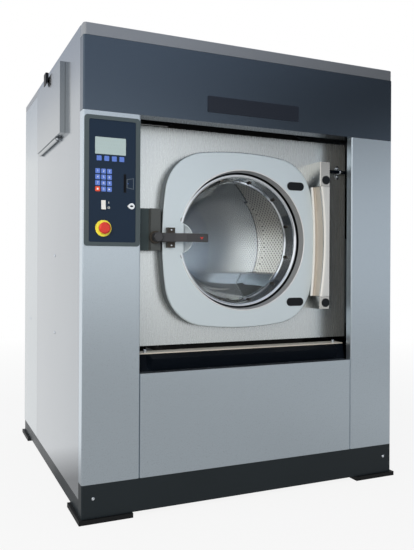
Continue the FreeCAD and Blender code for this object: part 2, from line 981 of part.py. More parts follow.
def hopper_box():
    """The soap hopper: compartments open to the side, sloping floors and a spout."""
    half = hopper_width / 2
    open_x = -half_width + sheet
    outer = block(open_x, hopper_inner_x, hopper_y - half, hopper_y + half, hopper_bottom, hopper_top)
    clear_width = (hopper_width - hopper_wall * (compartment_count + 1)) / compartment_count
    floor_low = hopper_bottom + hopper_wall
    floor_high = floor_low + hopper_floor_fall
    ceiling = hopper_top - hopper_wall
    back_x = hopper_inner_x - hopper_wall
    for step in range(compartment_count):
        y0 = hopper_y - half + hopper_wall + step * (clear_width + hopper_wall)
        hollow = [(open_x, floor_high), (back_x, floor_low), (back_x, ceiling), (open_x, ceiling)]
        outer = outer.cut(prism_y(hollow, y0, y0 + clear_width))
    notch = block(back_x - hopper_notch, back_x, hopper_y - half + hopper_wall, hopper_y + half - hopper_wall,
                  floor_low, floor_low + hopper_notch)
    outer = outer.cut(notch)
    tube = rod_z(spout_radius, spout_x, hopper_y, hopper_bottom - spout_length, hopper_bottom)
    bore = rod_z(spout_radius - hopper_wall, spout_x, hopper_y, hopper_bottom - spout_length, floor_high)
    return joined([outer, tube]).cut(bore)


def hopper_hinge_rod():
    """The flap's rod, held at each end by a rounded ear on the panel and capped by a ball."""
    y0 = roll_front - panel_gap
    y1 = roll_rear + panel_gap
    pieces = [rod_y(hinge_rod_radius, hinge_rod_x, hinge_rod_z, y0 - hinge_ear, y1 + hinge_ear)]
    for start in (y0 - hinge_ear, y1):
        pieces.append(rod_y(hinge_ear_radius, hinge_rod_x, hinge_rod_z, start, start + hinge_ear))
        pieces.append(block(hinge_rod_x, -half_width, start, start + hinge_ear,
                            hinge_rod_z - hinge_ear_radius, flap_bottom - panel_gap))
    for end in (y0 - hinge_ear, y1 + hinge_ear):
        pieces.append(Part.makeSphere(hinge_ball_radius, Vector(hinge_rod_x, end, hinge_rod_z)))
    return joined(pieces)


def hopper_flap():
    """A folded pan over the hopper's mouth, rolled round the rod at its foot."""
    y0 = hopper_y - flap_half
    y1 = hopper_y + flap_half
    inner_x = -half_width - flap_gap
    pan = block(flap_outer_x, inner_x, y0, y1, flap_bottom, flap_top)
    pocket = block(flap_outer_x + flap_sheet, inner_x, y0 + flap_sheet, y1 - flap_sheet,
                   flap_bottom + flap_sheet, flap_top - flap_sheet)
    roll = rod_y(knuckle_radius, hinge_rod_x, hinge_rod_z, roll_front, roll_rear)
    bore = rod_y(hinge_rod_radius + running_gap, hinge_rod_x, hinge_rod_z, roll_front, roll_rear)
    return joined([pan.cut(pocket), roll]).cut(bore)


def hopper_handle():
    """A hooked pull on the flap, open below for the fingers."""
    top = flap_top + pull_rise
    outer = flap_outer_x - pull_reach
    bottom = top - pull_height
    points = [(flap_outer_x, top), (outer, top), (outer, bottom), (outer + pull_lip, bottom),
              (flap_outer_x, top - pull_root_height)]
    return prism_y(points, hopper_y - pull_length / 2, hopper_y + pull_length / 2)


def inlet_valves():
    """Water valves behind the rear panel, each held by a nut outside it, with a neck for a hose."""
    valves = []
    back = rear_y - sheet
    neck_start = rear_y + inlet_nut_height
    neck_end = neck_start + inlet_length
    for x, z in inlet_places():
        body = block(x - valve_width / 2, x + valve_width / 2, back - valve_depth, back, z - valve_height / 2,
                     z + valve_height / 2)
        stem = rod_y(inlet_stem_radius, x, z, back, rear_y)
        corners = [math.radians(step * FULL_TURN / HEX_SIDES) for step in range(HEX_SIDES)]
        nut = prism_y([(x + inlet_nut_radius * math.cos(angle), z + inlet_nut_radius * math.sin(angle))
                       for angle in corners], rear_y, neck_start)
        neck = rod_y(inlet_radius, x, z, neck_start, neck_end)
        bore = rod_y(inlet_bore_radius, x, z, back, neck_end)
        valves.append(joined([body, stem, nut, neck]).cut(bore))
    return valves


def drain_outlet():
    """A cup under the tub's drain and a pipe from it through the rear panel to a collar and a spigot."""
    y = y_at(drain_depth)
    floor = drain_height - drain_pipe_radius - drain_wall
    cup = rod_z(drain_cup_radius, drain_x, y, floor, drain_cup_top)
    collar_end = rear_y + drain_collar_height
    spigot_end = collar_end + drain_length
    run = rod_y(drain_run_radius, drain_x, drain_height, y, rear_y)
    collar = rod_y(drain_collar_radius, drain_x, drain_height, rear_y, collar_end)
    spigot = rod_y(drain_pipe_radius, drain_x, drain_height, collar_end, spigot_end)
    back = rear_y - sheet
    flange = block(drain_x - drain_flange, drain_x + drain_flange, back - drain_flange_thickness, back,
                   drain_height - drain_pipe_radius, drain_height + drain_flange)
    outer = joined([cup, run, flange, collar, spigot])
    cup_bore = rod_z(drain_cup_radius - drain_wall, drain_x, y, floor + drain_wall, drain_cup_top)
    pipe_bore = rod_y(drain_pipe_radius - drain_wall, drain_x, drain_height, y, spigot_end)
    return outer.cut([cup_bore, pipe_bore])


def inverter_box():
    """The motor's frequency drive on the right-hand panel, with cooling fins."""
    outer = half_width - sheet
    y0 = y_at(inverter_depth)
    y1 = y0 + inverter_length
    top = inverter_bottom + inverter_height
    fin_tip = tub_radius + inverter_tub_gap
    inner = fin_tip + inverter_fin
    body = block(inner, outer, y0, y1, inverter_bottom, top)
    pieces = [body]
    pitch = inverter_length / inverter_fin_count
    for step in range(inverter_fin_count):
        start = y0 + step * pitch
        pieces.append(block(fin_tip, inner, start, start + sheet, inverter_bottom, top))
    return joined(pieces)


def damper_places():
    return [(side * damper_x, row_y) for side in SIDES for row_y in spring_rows]


def damper_cylinders():
    bodies = []
    for x, y in damper_places():
        body = rod_z(damper_body_radius, x, y, spring_bottom, spring_bottom + damper_body_length)
        bore = rod_z(damper_rod_radius + running_gap, x, y, spring_bottom + damper_foot,
                     spring_bottom + damper_body_length)
        bodies.append(body.cut(bore))
    return bodies


def damper_rods():
    rods = []
    for x, y in damper_places():
        rods.append(rod_z(damper_rod_radius, x, y,
                          spring_bottom + damper_body_length - damper_rod_overlap, spring_top))
    return rods


def suspension_springs():
    """Rubber bellows springs between the frame's pedestals and the tub's seats."""
    springs = []
    step = (spring_top - spring_bottom) / (2 * spring_bulge_count)
    waist = spring_radius - spring_waist
    profile = [(0, spring_bottom)]
    for level in range(2 * spring_bulge_count + 1):
        radius = spring_radius if level % 2 else waist
        profile.append((radius, spring_bottom + level * step))
    profile.append((0, spring_top))
    for side in SIDES:
        for row_y in spring_rows:
            springs.append(spin_z(profile, side * spring_x, row_y))
    return springs


def tub_core(radius):
    """A long cylinder on the drum's axis, to trim what is welded to the tub."""
    return rod_y(radius, 0, drum_z, front_y, rear_y)


def tub_seat(side, row_y):
    """A spring seat with two gussets up to the tub."""
    half = seat_length / 2
    top = spring_top + seat_thickness
    seat = side_block(side, seat_inner_x, seat_outer_x, row_y - half, row_y + half, spring_top, top)
    pieces = [seat]
    for start in (row_y - half, row_y + half - gusset_thickness):
        gusset = side_block(side, seat_inner_x, seat_outer_x, start, start + gusset_thickness, top, drum_z)
        pieces.append(gusset.cut(tub_core(tub_radius - tub_wall / 2)))
    return joined(pieces)


def motor_straps():
    """A saddle below the tub and two eyes on it that grip the motor's end shields."""
    core = tub_core(tub_radius - tub_wall / 2)
    eye_radius = motor_radius + motor_strap
    half = motor_saddle_width / 2
    saddle = block(motor_x - half, motor_x + half, y_at(motor_front_depth), y_at(motor_back_depth),
                   motor_height + eye_radius - motor_saddle_lap, drum_z)
    straps = [saddle.cut(core)]
    shield = motor_shield_length
    for middle in (motor_front_depth + shield / 2, motor_back_depth - shield / 2):
        y0 = y_at(middle - motor_strap_width / 2)
        y1 = y_at(middle + motor_strap_width / 2)
        eye = rod_y(eye_radius, motor_x, motor_height, y0, y1)
        grip = rod_y(motor_radius + seat_gap, motor_x, motor_height, y0, y1)
        straps.append(eye.cut([grip, core]))
    return straps


def outer_tub():
    """The tub with its mouth collar, spring seats, motor straps, soap cup and drain stub."""
    front = y_at(tub_front_depth)
    back = y_at(tub_back_depth)
    mouth = y_at(plate_back)
    inside = tub_radius - tub_wall
    points = [(collar_radius, mouth), (collar_radius + tub_wall, mouth), (collar_radius + tub_wall, front),
              (tub_radius, front), (tub_radius, back), (housing_hole_radius, back),
              (housing_hole_radius, back - tub_wall), (inside, back - tub_wall), (inside, front + tub_wall),
              (collar_radius, front + tub_wall)]
    pieces = [spin_y(points, 0, drum_z)]
    for side in SIDES:
        for row_y in spring_rows:
            pieces.append(tub_seat(side, row_y))
    pieces = pieces + motor_straps()
    core = tub_core(tub_radius - tub_wall / 2)
    drain_y = y_at(drain_depth)
    pieces.append(rod_z(inlet_cup_radius, spout_x, hopper_y, drum_z, inlet_cup_top).cut(core))
    pieces.append(rod_z(stub_radius, drain_x, drain_y, stub_bottom, drum_z).cut(core))
    cup_bore = rod_z(inlet_cup_radius - inlet_cup_wall, spout_x, hopper_y, drum_z, inlet_cup_top)
    stub_bore = rod_z(stub_radius - stub_wall, drain_x, drain_y, stub_bottom, drum_z)
    return joined(pieces).cut([cup_bore, stub_bore])


def drain_valve():
    y = y_at(drain_depth)
    top = drain_valve_bottom + drain_valve_height
    body = rod_z(drain_valve_radius, drain_x, y, drain_valve_bottom, top)
    reach = drain_valve_radius + actuator_length
    lift = (drain_valve_height - actuator_height) / 2
    actuator = block(drain_x - reach, drain_x, y - actuator_width / 2, y + actuator_width / 2,
                     drain_valve_bottom + lift, top - lift)
    bore = rod_z(stub_radius + seat_gap, drain_x, y, drain_valve_bottom, top)
    return joined([body, actuator]).cut(bore)


def tub_front_plate():
    """The flat stainless plate round the door, with a hole for the mouth."""
    front = y_at(plate_depth)
    back = y_at(plate_back)
    plate = block(-plate_half_width, plate_half_width, front, back, plate_bottom, plate_top)
    mouth = rod_y(plate_hole_radius, 0, drum_z, front, back)
    return plate.cut(mouth)


def door_seal():
    """A rubber ring gripping the edge of the plate's hole."""
    front = y_at(plate_depth)
    back = y_at(plate_back)
    grip = plate_hole_radius - seal_gap
    points = [(seal_inner_radius, front - seal_front_lip), (seal_lip_radius, front - seal_front_lip),
              (seal_lip_radius, front), (grip, front), (grip, back), (seal_lip_radius, back),
              (seal_lip_radius, back + seal_rear_lip), (seal_inner_radius, back + seal_rear_lip)]
    return spin_y(points, 0, drum_z)


def lock_box():
    """The door lock's housing, stepped at its left, with the port that takes the lever's spindle."""
    right = -door_left_half - lock_box_clearance
    back = y_at(plate_depth)
    face = y_at(lock_box_depth)
    step = y_at(lock_box_step_depth)
    points = [(-lock_box_left, back), (-lock_box_left, step), (-lock_box_step_x - lock_box_bevel, step),
              (-lock_box_step_x, face), (right, face), (right, back)]
    body = prism_z(points, drum_z - lock_box_drop, drum_z + lock_box_top_rise)
    return body.cut(rod_y(lock_port_radius, -lever_pivot_x, lever_z, face, face + lock_port_depth))


def hinge_box(z0, z1, bore_bottom, bore_top):
    x0 = hinge_x - hinge_left_reach
    x1 = hinge_x + hinge_right_reach
    body = block(x0, x1, y_at(hinge_front_depth), y_at(plate_depth), z0, z1)
    uprights = [edge for edge in body.Edges
                if edge.BoundBox.ZLength > fit_gap and edge.BoundBox.YMax < y_at(plate_depth) - fit_gap]
    body = body.makeFillet(box_edge_radius, uprights)
    return body.cut(rod_z(hinge_pin_radius + running_gap, hinge_x, y_at(hinge_depth), bore_bottom, bore_top))


def hinge_boxes():
    """The upper box, which also holds the door switch and its gland, and the lower box."""
    upper = hinge_box(upper_span_z, upper_span_z + upper_box_height, upper_span_z,
                      upper_span_z + hinge_pin_length)
    gland = rod_x(gland_radius, y_at(lead_depth()), lead_z, hinge_x + hinge_right_reach,
                  hinge_x + hinge_right_reach + gland_length)
    lower = hinge_box(lower_span_z - lower_box_height, lower_span_z, lower_span_z - hinge_pin_length,
                      lower_span_z)
    return [joined([upper, gland]), lower]


def hinge_plugs():
    plugs = []
    face = y_at(hinge_front_depth)
    for z in (upper_span_z + round_plug_inset, lower_span_z - round_plug_inset):
        x = hinge_x + round_plug_offset_x
        plugs.append(rod_y(round_plug_radius, x, z, face - round_plug_proud, face))
    return plugs


def lead_depth():
    """Depth of the lead's straight run, one bend in front of the plate."""
    return plate_depth - lead_bend_radius


def lock_lead():
    """The switch lead: straight out of the gland, then one bend back past the plate's edge."""
    z = lead_z
    start_x = hinge_x + hinge_right_reach + gland_length
    bend_x = lead_exit_x - lead_bend_radius
    run_y = y_at(lead_depth())
    half = lead_bend_radius * math.sqrt(0.5)
    bend_y = run_y + lead_bend_radius
    start = Vector(start_x, run_y, z)
    turn_in = Vector(bend_x, run_y, z)
    turn_middle = Vector(bend_x + half, bend_y - half, z)
    turn_out = Vector(lead_exit_x, bend_y, z)
    end = Vector(lead_exit_x, bend_y + lead_tail, z)
    path = Part.Wire([line(start, turn_in), arc(turn_in, turn_middle, turn_out), line(turn_out, end)])
    ring = Part.Wire(Part.makeCircle(lead_radius, start, X_AXIS))
    return path.makePipeShell([ring], True, False)


def bearing_housing():
    """A flanged housing on the tub's back with a seat for a bearing at each end, and ribs."""
    front = y_at(tub_back_depth)
    flange = front + housing_flange_thickness
    end = y_at(housing_end_depth)
    seat = bearing_radius
    points = [(seat, front), (housing_flange_radius, front), (housing_flange_radius, flange),
              (housing_radius, flange), (housing_radius, end), (seat, end), (seat, end - bearing_width),
              (housing_core_radius, end - bearing_width), (housing_core_radius, front + bearing_width),
              (seat, front + bearing_width)]
    pieces = [spin_y(points, 0, drum_z)]
    rib = prism_z([(housing_radius - housing_rib_thickness, flange), (housing_flange_radius, flange),
                   (housing_radius - housing_rib_thickness, end)],
                  drum_z - housing_rib_thickness / 2, drum_z + housing_rib_thickness / 2)
    for step in range(housing_rib_count):
        pieces.append(about_drum(rib, step * FULL_TURN / housing_rib_count))
    return joined(pieces)


def shaft_bearings():
    front = y_at(tub_back_depth)
    end = y_at(housing_end_depth)
    rings = []
    for y in (front, end - bearing_width):
        ring = rod_y(bearing_radius - running_gap / 2, 0, drum_z, y, y + bearing_width)
        rings.append(ring.cut(rod_y(shaft_radius + running_gap, 0, drum_z, y, y + bearing_width)))
    return rings


def drum_shell():
    """The drum with a rolled lip at its mouth; its fine holes are too many to model."""
    front = y_at(drum_front_depth)
    back = y_at(drum_back_depth)
    inside = drum_radius - drum_wall
    lip = drum_mouth_radius + drum_lip_width
    lip_back = front + drum_lip_depth
    points = [(drum_mouth_radius, front), (drum_radius, front), (drum_radius, back), (0, back),
              (0, back - drum_wall), (inside, back - drum_wall), (inside, front + drum_wall),
              (lip, front + drum_wall), (lip, lip_back), (drum_mouth_radius, lip_back)]
    return spin_y(points, 0, drum_z)


def drum_lifters():
    """Pressed hollow ribs along the drum's wall, wide at the foot."""
    inside = drum_radius - drum_wall - seat_gap
    y0 = y_at(drum_front_depth + drum_wall + lifter_end_gap)
    y1 = y_at(drum_back_depth - drum_wall - lifter_end_gap)

    def wedge(inset):
        crest = inside - lifter_height + inset
        top = lifter_top / 2 - inset
        base = lifter_base / 2 - inset
        points = [(crest, drum_z - top), (crest, drum_z + top), (drum_radius, drum_z + base),
                  (drum_radius, drum_z - base)]
        return prism_y(points, y0 + inset, y1 - inset)

    rib = wedge(0).cut(wedge(drum_wall)).common(rod_y(inside, 0, drum_z, y0, y1))
    pitch = FULL_TURN / lifter_count
    return [about_drum(rib, lifter_first_angle + step * pitch) for step in range(lifter_count)]


def drum_spider():
    """A cast spider on the drum's back, in one piece with its shaft."""
    front = y_at(drum_back_depth)
    hub_back = y_at(spider_hub_depth)
    pieces = [rod_y(spider_hub_radius, 0, drum_z, front, hub_back)]
    pieces.append(rod_y(shaft_radius, 0, drum_z, hub_back, y_at(shaft_end_depth)))
    arm = prism_z([(0, front), (spider_arm_reach, front), (spider_arm_reach, front + spider_tip_thickness),
                   (spider_hub_radius, hub_back), (0, hub_back)],
                  drum_z - spider_arm_width / 2, drum_z + spider_arm_width / 2)
    for step in range(lifter_count):
        pieces.append(about_drum(arm, lifter_first_angle + step * FULL_TURN / lifter_count))
    return joined(pieces)


def drum_pulley():
    front = y_at(pulley_depth)
    back = front + pulley_width
    middle = front + pulley_width / 2
    rim = drum_pulley_radius - pulley_rim
    bore = shaft_radius + running_gap / 2
    web0 = middle - pulley_web / 2
    web1 = middle + pulley_web / 2
    points = [(bore, front), (pulley_hub_radius, front), (pulley_hub_radius, web0), (rim, web0), (rim, front),
              (drum_pulley_radius, front), (drum_pulley_radius, back), (rim, back), (rim, web1),
              (pulley_hub_radius, web1), (pulley_hub_radius, back), (bore, back)]
    wheel = spin_y(points, 0, drum_z)
    hole = rod_y(pulley_hole_radius, pulley_hole_circle, drum_z, web0, web1)
    holes = [about_drum(hole, step * FULL_TURN / pulley_hole_count) for step in range(pulley_hole_count)]
    return wheel.cut(holes)


def drive_motor():
    """The finned motor body with a terminal box, bored for its shaft."""
    front = y_at(motor_front_depth)
    back = y_at(motor_back_depth)
    core0 = front + motor_shield_length
    core1 = back - motor_shield_length
    points = [(0, front), (motor_radius, front), (motor_radius, core0), (motor_core_radius, core0),
              (motor_core_radius, core1), (motor_radius, core1), (motor_radius, back), (0, back)]
    pieces = [spin_y(points, motor_x, motor_height)]
    fin = block(motor_x + motor_core_radius - motor_fin_width, motor_x + motor_radius, core0, core1,
                motor_height - motor_fin_width / 2, motor_height + motor_fin_width / 2)
    for step in range(motor_fin_count):
        copy = fin.copy()
        copy.rotate(Vector(motor_x, 0, motor_height), Y_AXIS, step * FULL_TURN / motor_fin_count)
        pieces.append(copy)
    bore = rod_y(motor_shaft_radius + running_gap, motor_x, motor_height, back - motor_shaft_hold, back)
    return joined(pieces).cut(bore)


def motor_pulley():
    """The motor's shaft with its flanged belt pulley."""
    back = y_at(motor_back_depth)
    front = y_at(pulley_depth)
    end = front + pulley_width
    rim = motor_pulley_radius + belt_thickness
    tail = back - motor_shaft_hold + panel_gap
    points = [(0, tail), (motor_shaft_radius, tail), (motor_shaft_radius, front - motor_pulley_flange),
              (rim, front - motor_pulley_flange),
              (rim, front), (motor_pulley_radius, front), (motor_pulley_radius, end), (rim, end),
              (rim, end + motor_pulley_flange), (0, end + motor_pulley_flange)]
    return spin_y(points, motor_x, motor_height)


def belt_loop(extra, y):
    """The loop round both pulleys, this far outside their rims."""
    start = Vector(0, y, drum_z)
    end = Vector(motor_x, y, motor_height)
    large = drum_pulley_radius + extra
    small = motor_pulley_radius + extra
    along = (end - start).normalize()
    across = Vector(-along.z, 0, along.x)
    lean = (large - small) / start.distanceToPoint(end)
    spread = math.sqrt(1 - lean * lean)
    left = along * lean + across * spread
    right = along * lean - across * spread
    return Part.Wire([
        line(start + left * large, end + left * small),
        arc(end + left * small, end + along * small, end + right * small),
        line(end + right * small, start + right * large),
        arc(start + right * large, start - along * large, start + left * large),
    ])


def drive_belt():
    y = y_at(belt_middle_depth) - belt_width / 2
    outer = Part.Face(belt_loop(belt_gap + belt_thickness, y)).extrude(Vector(0, belt_width, 0))
    inner = Part.Face(belt_loop(belt_gap, y)).extrude(Vector(0, belt_width, 0))
    return outer.cut(inner)


def door_outline(inset, y):
    """The door's outline: four bulging sides joined by tangent corner arcs, drawn in by the inset."""
    middle_x = (door_right_half - door_left_half) / 2
    half_x = (door_right_half + door_left_half) / 2 - inset
    half_z = door_half_height - inset
    bulge = door_side_radius - inset
    corner = door_corner_radius - inset
    side_centre = Vector(half_x - bulge, 0, 0)
    top_centre = Vector(0, 0, half_z - bulge)
    gap = top_centre - side_centre
    reach = bulge - corner
    lift = math.sqrt(reach * reach - gap.Length * gap.Length / 4)
    square = Vector(-gap.z, 0, gap.x).normalize()
    if square.x < 0:
        square = square * -1
    corner_centre = (side_centre + top_centre) * 0.5 + square * lift
    from_side = side_centre + (corner_centre - side_centre).normalize() * bulge
    from_top = top_centre + (corner_centre - top_centre).normalize() * bulge
    peak = corner_centre + (from_side + from_top - corner_centre * 2).normalize() * corner

    def spot(point, sx, sz):
        return Vector(middle_x + sx * point.x, y, drum_z + sz * point.z)

    side_peak = Vector(half_x, 0, 0)
    top_peak = Vector(0, 0, half_z)
    return Part.Wire([
        arc(spot(from_side, 1, -1), spot(side_peak, 1, 1), spot(from_side, 1, 1)),
        arc(spot(from_side, 1, 1), spot(peak, 1, 1), spot(from_top, 1, 1)),
        arc(spot(from_top, 1, 1), spot(top_peak, 1, 1), spot(from_top, -1, 1)),
        arc(spot(from_top, -1, 1), spot(peak, -1, 1), spot(from_side, -1, 1)),
        arc(spot(from_side, -1, 1), spot(side_peak, -1, 1), spot(from_side, -1, -1)),
        arc(spot(from_side, -1, -1), spot(peak, -1, -1), spot(from_top, -1, -1)),
        arc(spot(from_top, -1, -1), spot(top_peak, -1, -1), spot(from_top, 1, -1)),
        arc(spot(from_top, 1, -1), spot(peak, 1, -1), spot(from_side, 1, -1)),
    ])


def door_plate():
    """The door's pressed outer pan, with the port and the tongue behind the lever."""
    front = y_at(door_depth)
    pan = Part.Face(door_outline(0, front)).extrude(Vector(0, door_rim, 0))
    rim = [edge for edge in pan.Edges if edge.BoundBox.YMax < front + fit_gap]
    pan = pan.makeFillet(door_edge_radius, rim)
    pocket = Part.Face(door_outline(door_sheet, front + door_sheet)).extrude(Vector(0, door_rim, 0))
    back = front + door_sheet
    port = rod_y(port_radius, 0, drum_z, front, back)
    tip = -port_radius + tongue_reach
    root = -port_radius - tongue_reach
    tongue = rounded_slab((tip + root) / 2, lever_z, tip - root, 2 * tongue_half_height, tongue_corner_radius,
                          front, back)
    opening = port.cut(tongue)
    for side in SIDES:
        z = tongue_half_height + tongue_relief_radius
        x = -math.sqrt(port_radius * port_radius - z * z)
        relief = rod_y(tongue_relief_radius, x + tongue_relief_radius / 2, lever_z + side * z, front, back)
        opening = opening.fuse(relief)
    return pan.cut(pocket).cut(opening)


def ring_point(radius, depth):
    return Vector(radius, y_at(depth), drum_z)


def door_ring():
    """The port's turned ring: a throat, a polished bead, the glass seat and the sealing flange."""
    face = door_depth + door_sheet
    bead = ring_point(ring_bead_centre_radius, ring_bead_depth)
    lean = ring_point(ring_throat_radius, ring_throat_depth) - bead
    lean = lean.normalize() * ring_bead_radius
    fall = ring_point(ring_bore_front_radius, ring_bore_front_depth) - bead
    fall = fall.normalize() * ring_bead_radius
    nose = Vector(-math.sqrt(0.5), -math.sqrt(0.5), 0) * ring_bead_radius
    front_corner = ring_point(port_radius + seat_gap, face)
    flange_back = ring_seal_flange_depth - ring_wall
    corners = [
        bead + fall,
        ring_point(ring_bore_back_radius, ring_bore_back_depth),
        ring_point(ring_seat_radius, ring_seat_depth),
        ring_point(ring_seat_radius, ring_back_depth),
        ring_point(ring_outer_back_radius, ring_back_depth),
        ring_point(ring_outer_front_radius, ring_seal_flange_depth),
        ring_point(ring_seal_flange_radius, ring_seal_flange_depth),
        ring_point(ring_seal_flange_radius, flange_back),
        ring_point(ring_outer_front_radius + ring_wall, flange_back),
        ring_point(port_radius + ring_wall, face + ring_wall),
        ring_point(ring_flange_radius, face + ring_wall),
        ring_point(ring_flange_radius, face),
        front_corner,
        bead + lean,
    ]
    edges = [arc(bead + lean, bead + nose, bead + fall)]
    for start, end in zip(corners, corners[1:]):
        edges.append(line(start, end))
    return Part.Face(Part.Wire(edges)).revolve(Vector(0, 0, drum_z), Y_AXIS, FULL_TURN)


def ring_clips():
    """Clips round the ring's bore that hold the glass."""
    run = ring_bore_back_depth - ring_bore_front_depth
    slope = (ring_bore_front_radius - ring_bore_back_radius) / run
    front_radius = ring_bore_back_radius + slope * (ring_bore_back_depth - clip_front_depth) - seat_gap
    back_radius = ring_bore_back_radius - seat_gap
    spots = [ring_point(front_radius, clip_front_depth), ring_point(back_radius, ring_bore_back_depth),
             ring_point(back_radius - clip_thickness, ring_bore_back_depth),
             ring_point(front_radius - clip_thickness, clip_front_depth)]
    clip = loop_face(spots).revolve(Vector(0, 0, drum_z), Y_AXIS, clip_angle)
    pitch = FULL_TURN / clip_count
    return [about_drum(clip, clip_first_angle + clip_angle / 2 + step * pitch) for step in range(clip_count)]


def glass_profile(offset):
    """Half of the bowl's section on one side of the glass: edge, cone, rounded heel, flat end."""
    lip = ring_point(glass_bowl_front_radius + offset, ring_back_depth + offset)
    heel = ring_point(glass_bowl_back_radius + offset, glass_bowl_depth - glass_round_radius + offset)
    foot = ring_point(glass_bowl_back_radius - glass_round_radius, glass_bowl_depth + offset)
    centre = ring_point(glass_bowl_back_radius - glass_round_radius, glass_bowl_depth - glass_round_radius)
    bulge = (heel + foot - centre * 2).normalize() * (glass_round_radius + offset)
    return lip, heel, centre + bulge, foot, ring_point(0, glass_bowl_depth + offset)


def door_glass():
    """A deep glass bowl that bulges into the drum."""
    lip, heel, bulge, foot, pole = glass_profile(0)
    back_lip, back_heel, back_bulge, back_foot, back_pole = glass_profile(glass_thickness)
    rim = ring_point(glass_edge_radius, ring_back_depth)
    back_rim = ring_point(glass_edge_radius, ring_back_depth + glass_thickness)
    edges = [line(pole, foot), arc(foot, bulge, heel), line(heel, lip), line(lip, rim), line(rim, back_rim),
             line(back_rim, back_lip), line(back_lip, back_heel), arc(back_heel, back_bulge, back_foot),
             line(back_foot, back_pole), line(back_pole, pole)]
    return Part.Face(Part.Wire(edges)).revolve(Vector(0, 0, drum_z), Y_AXIS, FULL_TURN)


def door_plugs():
    face = y_at(door_depth)
    plugs = []
    for rise in (upper_plug_rise, -lower_plug_drop):
        plugs.append(rounded_slab(plug_x, drum_z + rise, plug_length, plug_height, plug_height / 2 - fit_gap,
                                  face - plug_proud, face))
    return plugs


def post_section(waist, y, x0, x1, z0, z1):
    """An upright section of the post whose left side is drawn in at the middle."""
    corners = [Vector(x0, y, z1), Vector(x1, y, z1), Vector(x1, y, z0), Vector(x0, y, z0)]
    edges = [line(start, end) for start, end in zip(corners, corners[1:])]
    edges.append(arc(corners[3], Vector(x0 + waist, y, (z0 + z1) / 2), corners[0]))
    return Part.Wire(edges)


def hinge_post():
    """The door's waisted hinge post: straight at the door, drawn in at its front edge, with two pins."""
    z0 = lower_span_z + hinge_end_gap
    z1 = upper_span_z - hinge_end_gap
    x0 = hinge_x - hinge_left_reach + post_base_gap
    x1 = hinge_x + hinge_right_reach
    face = y_at(door_depth)
    front = y_at(hinge_front_depth)
    waisted = Part.makeLoft([post_section(post_waist, front, x0, x1, z0, z1),
                             post_section(fit_gap, face, x0, x1, z0, z1)], True, True)
    back_x = door_right_half + post_base_gap
    heel = block(back_x, x1, face, y_at(post_back_depth), z0, z1)
    flange = block(x0 - post_flange_reach, x0 + post_flange_reach, face - post_flange_thickness, face,
                   z0 + post_flange_inset, z1 - post_flange_inset)
    pin_reach = hinge_pin_length - hinge_end_gap
    pins = rod_z(hinge_pin_radius, hinge_x, y_at(hinge_depth), lower_span_z - pin_reach,
                 upper_span_z + pin_reach)
    return joined([waisted, heel, flange, pins])


def lever_bracket():
    """The keeper on the door and the arm that carries the lever's pivot in front of the lock."""
    front = y_at(bracket_depth)
    back = front + bracket_thickness
    pivot_x = -lever_pivot_x
    boss = rod_y(bracket_boss_radius, pivot_x, lever_z, front, back)
    arm = block(pivot_x, -keeper_right, front, back, lever_z - bracket_half_height,
                lever_z + bracket_half_height)
    keeper = block(-keeper_left, -keeper_right, back, y_at(door_depth), lever_z - keeper_half_height,
                   lever_z + keeper_half_height)
    bore = rod_y(lever_spindle_radius + running_gap, pivot_x, lever_z, front, back)
    return joined([boss, arm, keeper]).cut(bore)


def finger_guard():
    """A clear shell behind the lever that keeps fingers off the glass."""
    centre = Vector(-guard_centre_x, y_at(guard_centre_depth), lever_z)
    shell = Part.makeSphere(guard_radius, centre).cut(Part.makeSphere(guard_radius - guard_thickness, centre))
    front = y_at(door_depth + door_sheet)
    back = y_at(ring_bead_depth - ring_bead_radius - panel_gap)
    throat = [(0, front), (port_radius - seal_gap, front), (ring_throat_radius - seal_gap, back), (0, back)]
    return shell.common(spin_y(throat, 0, drum_z))


def door_lever():
    """The lever: a hub with a spindle and a bar that joggles forward to the grip."""
    pivot_x = -lever_pivot_x
    tip = pivot_x + lever_length
    grip = y_at(lever_front_depth)
    root = grip + lever_joggle
    start = pivot_x + lever_joggle_start
    end = pivot_x + lever_joggle_end
    thick = lever_thickness
    points = [(pivot_x, root), (start, root), (end, grip), (tip, grip), (tip, grip + thick),
              (end, grip + thick), (start, root + thick), (pivot_x, root + thick)]
    z0 = lever_z - lever_height / 2
    bar = prism_z(points, z0, z0 + lever_height)
    corners = [edge for edge in bar.Edges
               if edge.BoundBox.XMin > tip - fit_gap and edge.BoundBox.YLength > fit_gap]
    bar = bar.makeFillet(lever_end_radius, corners)
    front = y_at(lever_hub_front_depth)
    back = root + thick
    hub = [(0, front), (lever_hub_radius - lever_hub_edge, front), (lever_hub_radius, front + lever_hub_edge),
           (lever_hub_radius, back), (lever_spindle_radius, back),
           (lever_spindle_radius, back + lever_spindle_length), (0, back + lever_spindle_length)]
    return joined([bar, spin_y(hub, pivot_x, lever_z)])


os.makedirs("parts", exist_ok=True)
NODES = (
    foot_plates, base_frame, plinth_panel, left_side_panel, right_side_panel, rear_side_panels, rear_panel,
    top_cover, header_fascia, badge_plate, control_column, right_column, lower_front_panel, knee_bumper,
    sill_strip, control_bezel, control_overlay, display_window, keypad_keys, card_reader, power_rocker,
    key_switch, estop_collar, estop_button, hopper_box, hopper_hinge_rod, hopper_flap, hopper_handle,
    inlet_valves, drain_outlet, inverter_box, damper_cylinders, damper_rods, suspension_springs, outer_tub,
    drain_valve, tub_front_plate, door_seal, lock_box, hinge_boxes, hinge_plugs, lock_lead, bearing_housing,
    shaft_bearings, drum_shell, drum_lifters, drum_spider, drum_pulley, drive_motor, motor_pulley, drive_belt,
    door_plate, door_ring, ring_clips, door_glass, door_plugs, hinge_post, lever_bracket, finger_guard,
    door_lever,
)
for node in NODES:
    save(node.__name__, node())
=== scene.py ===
import functools
import json
import math

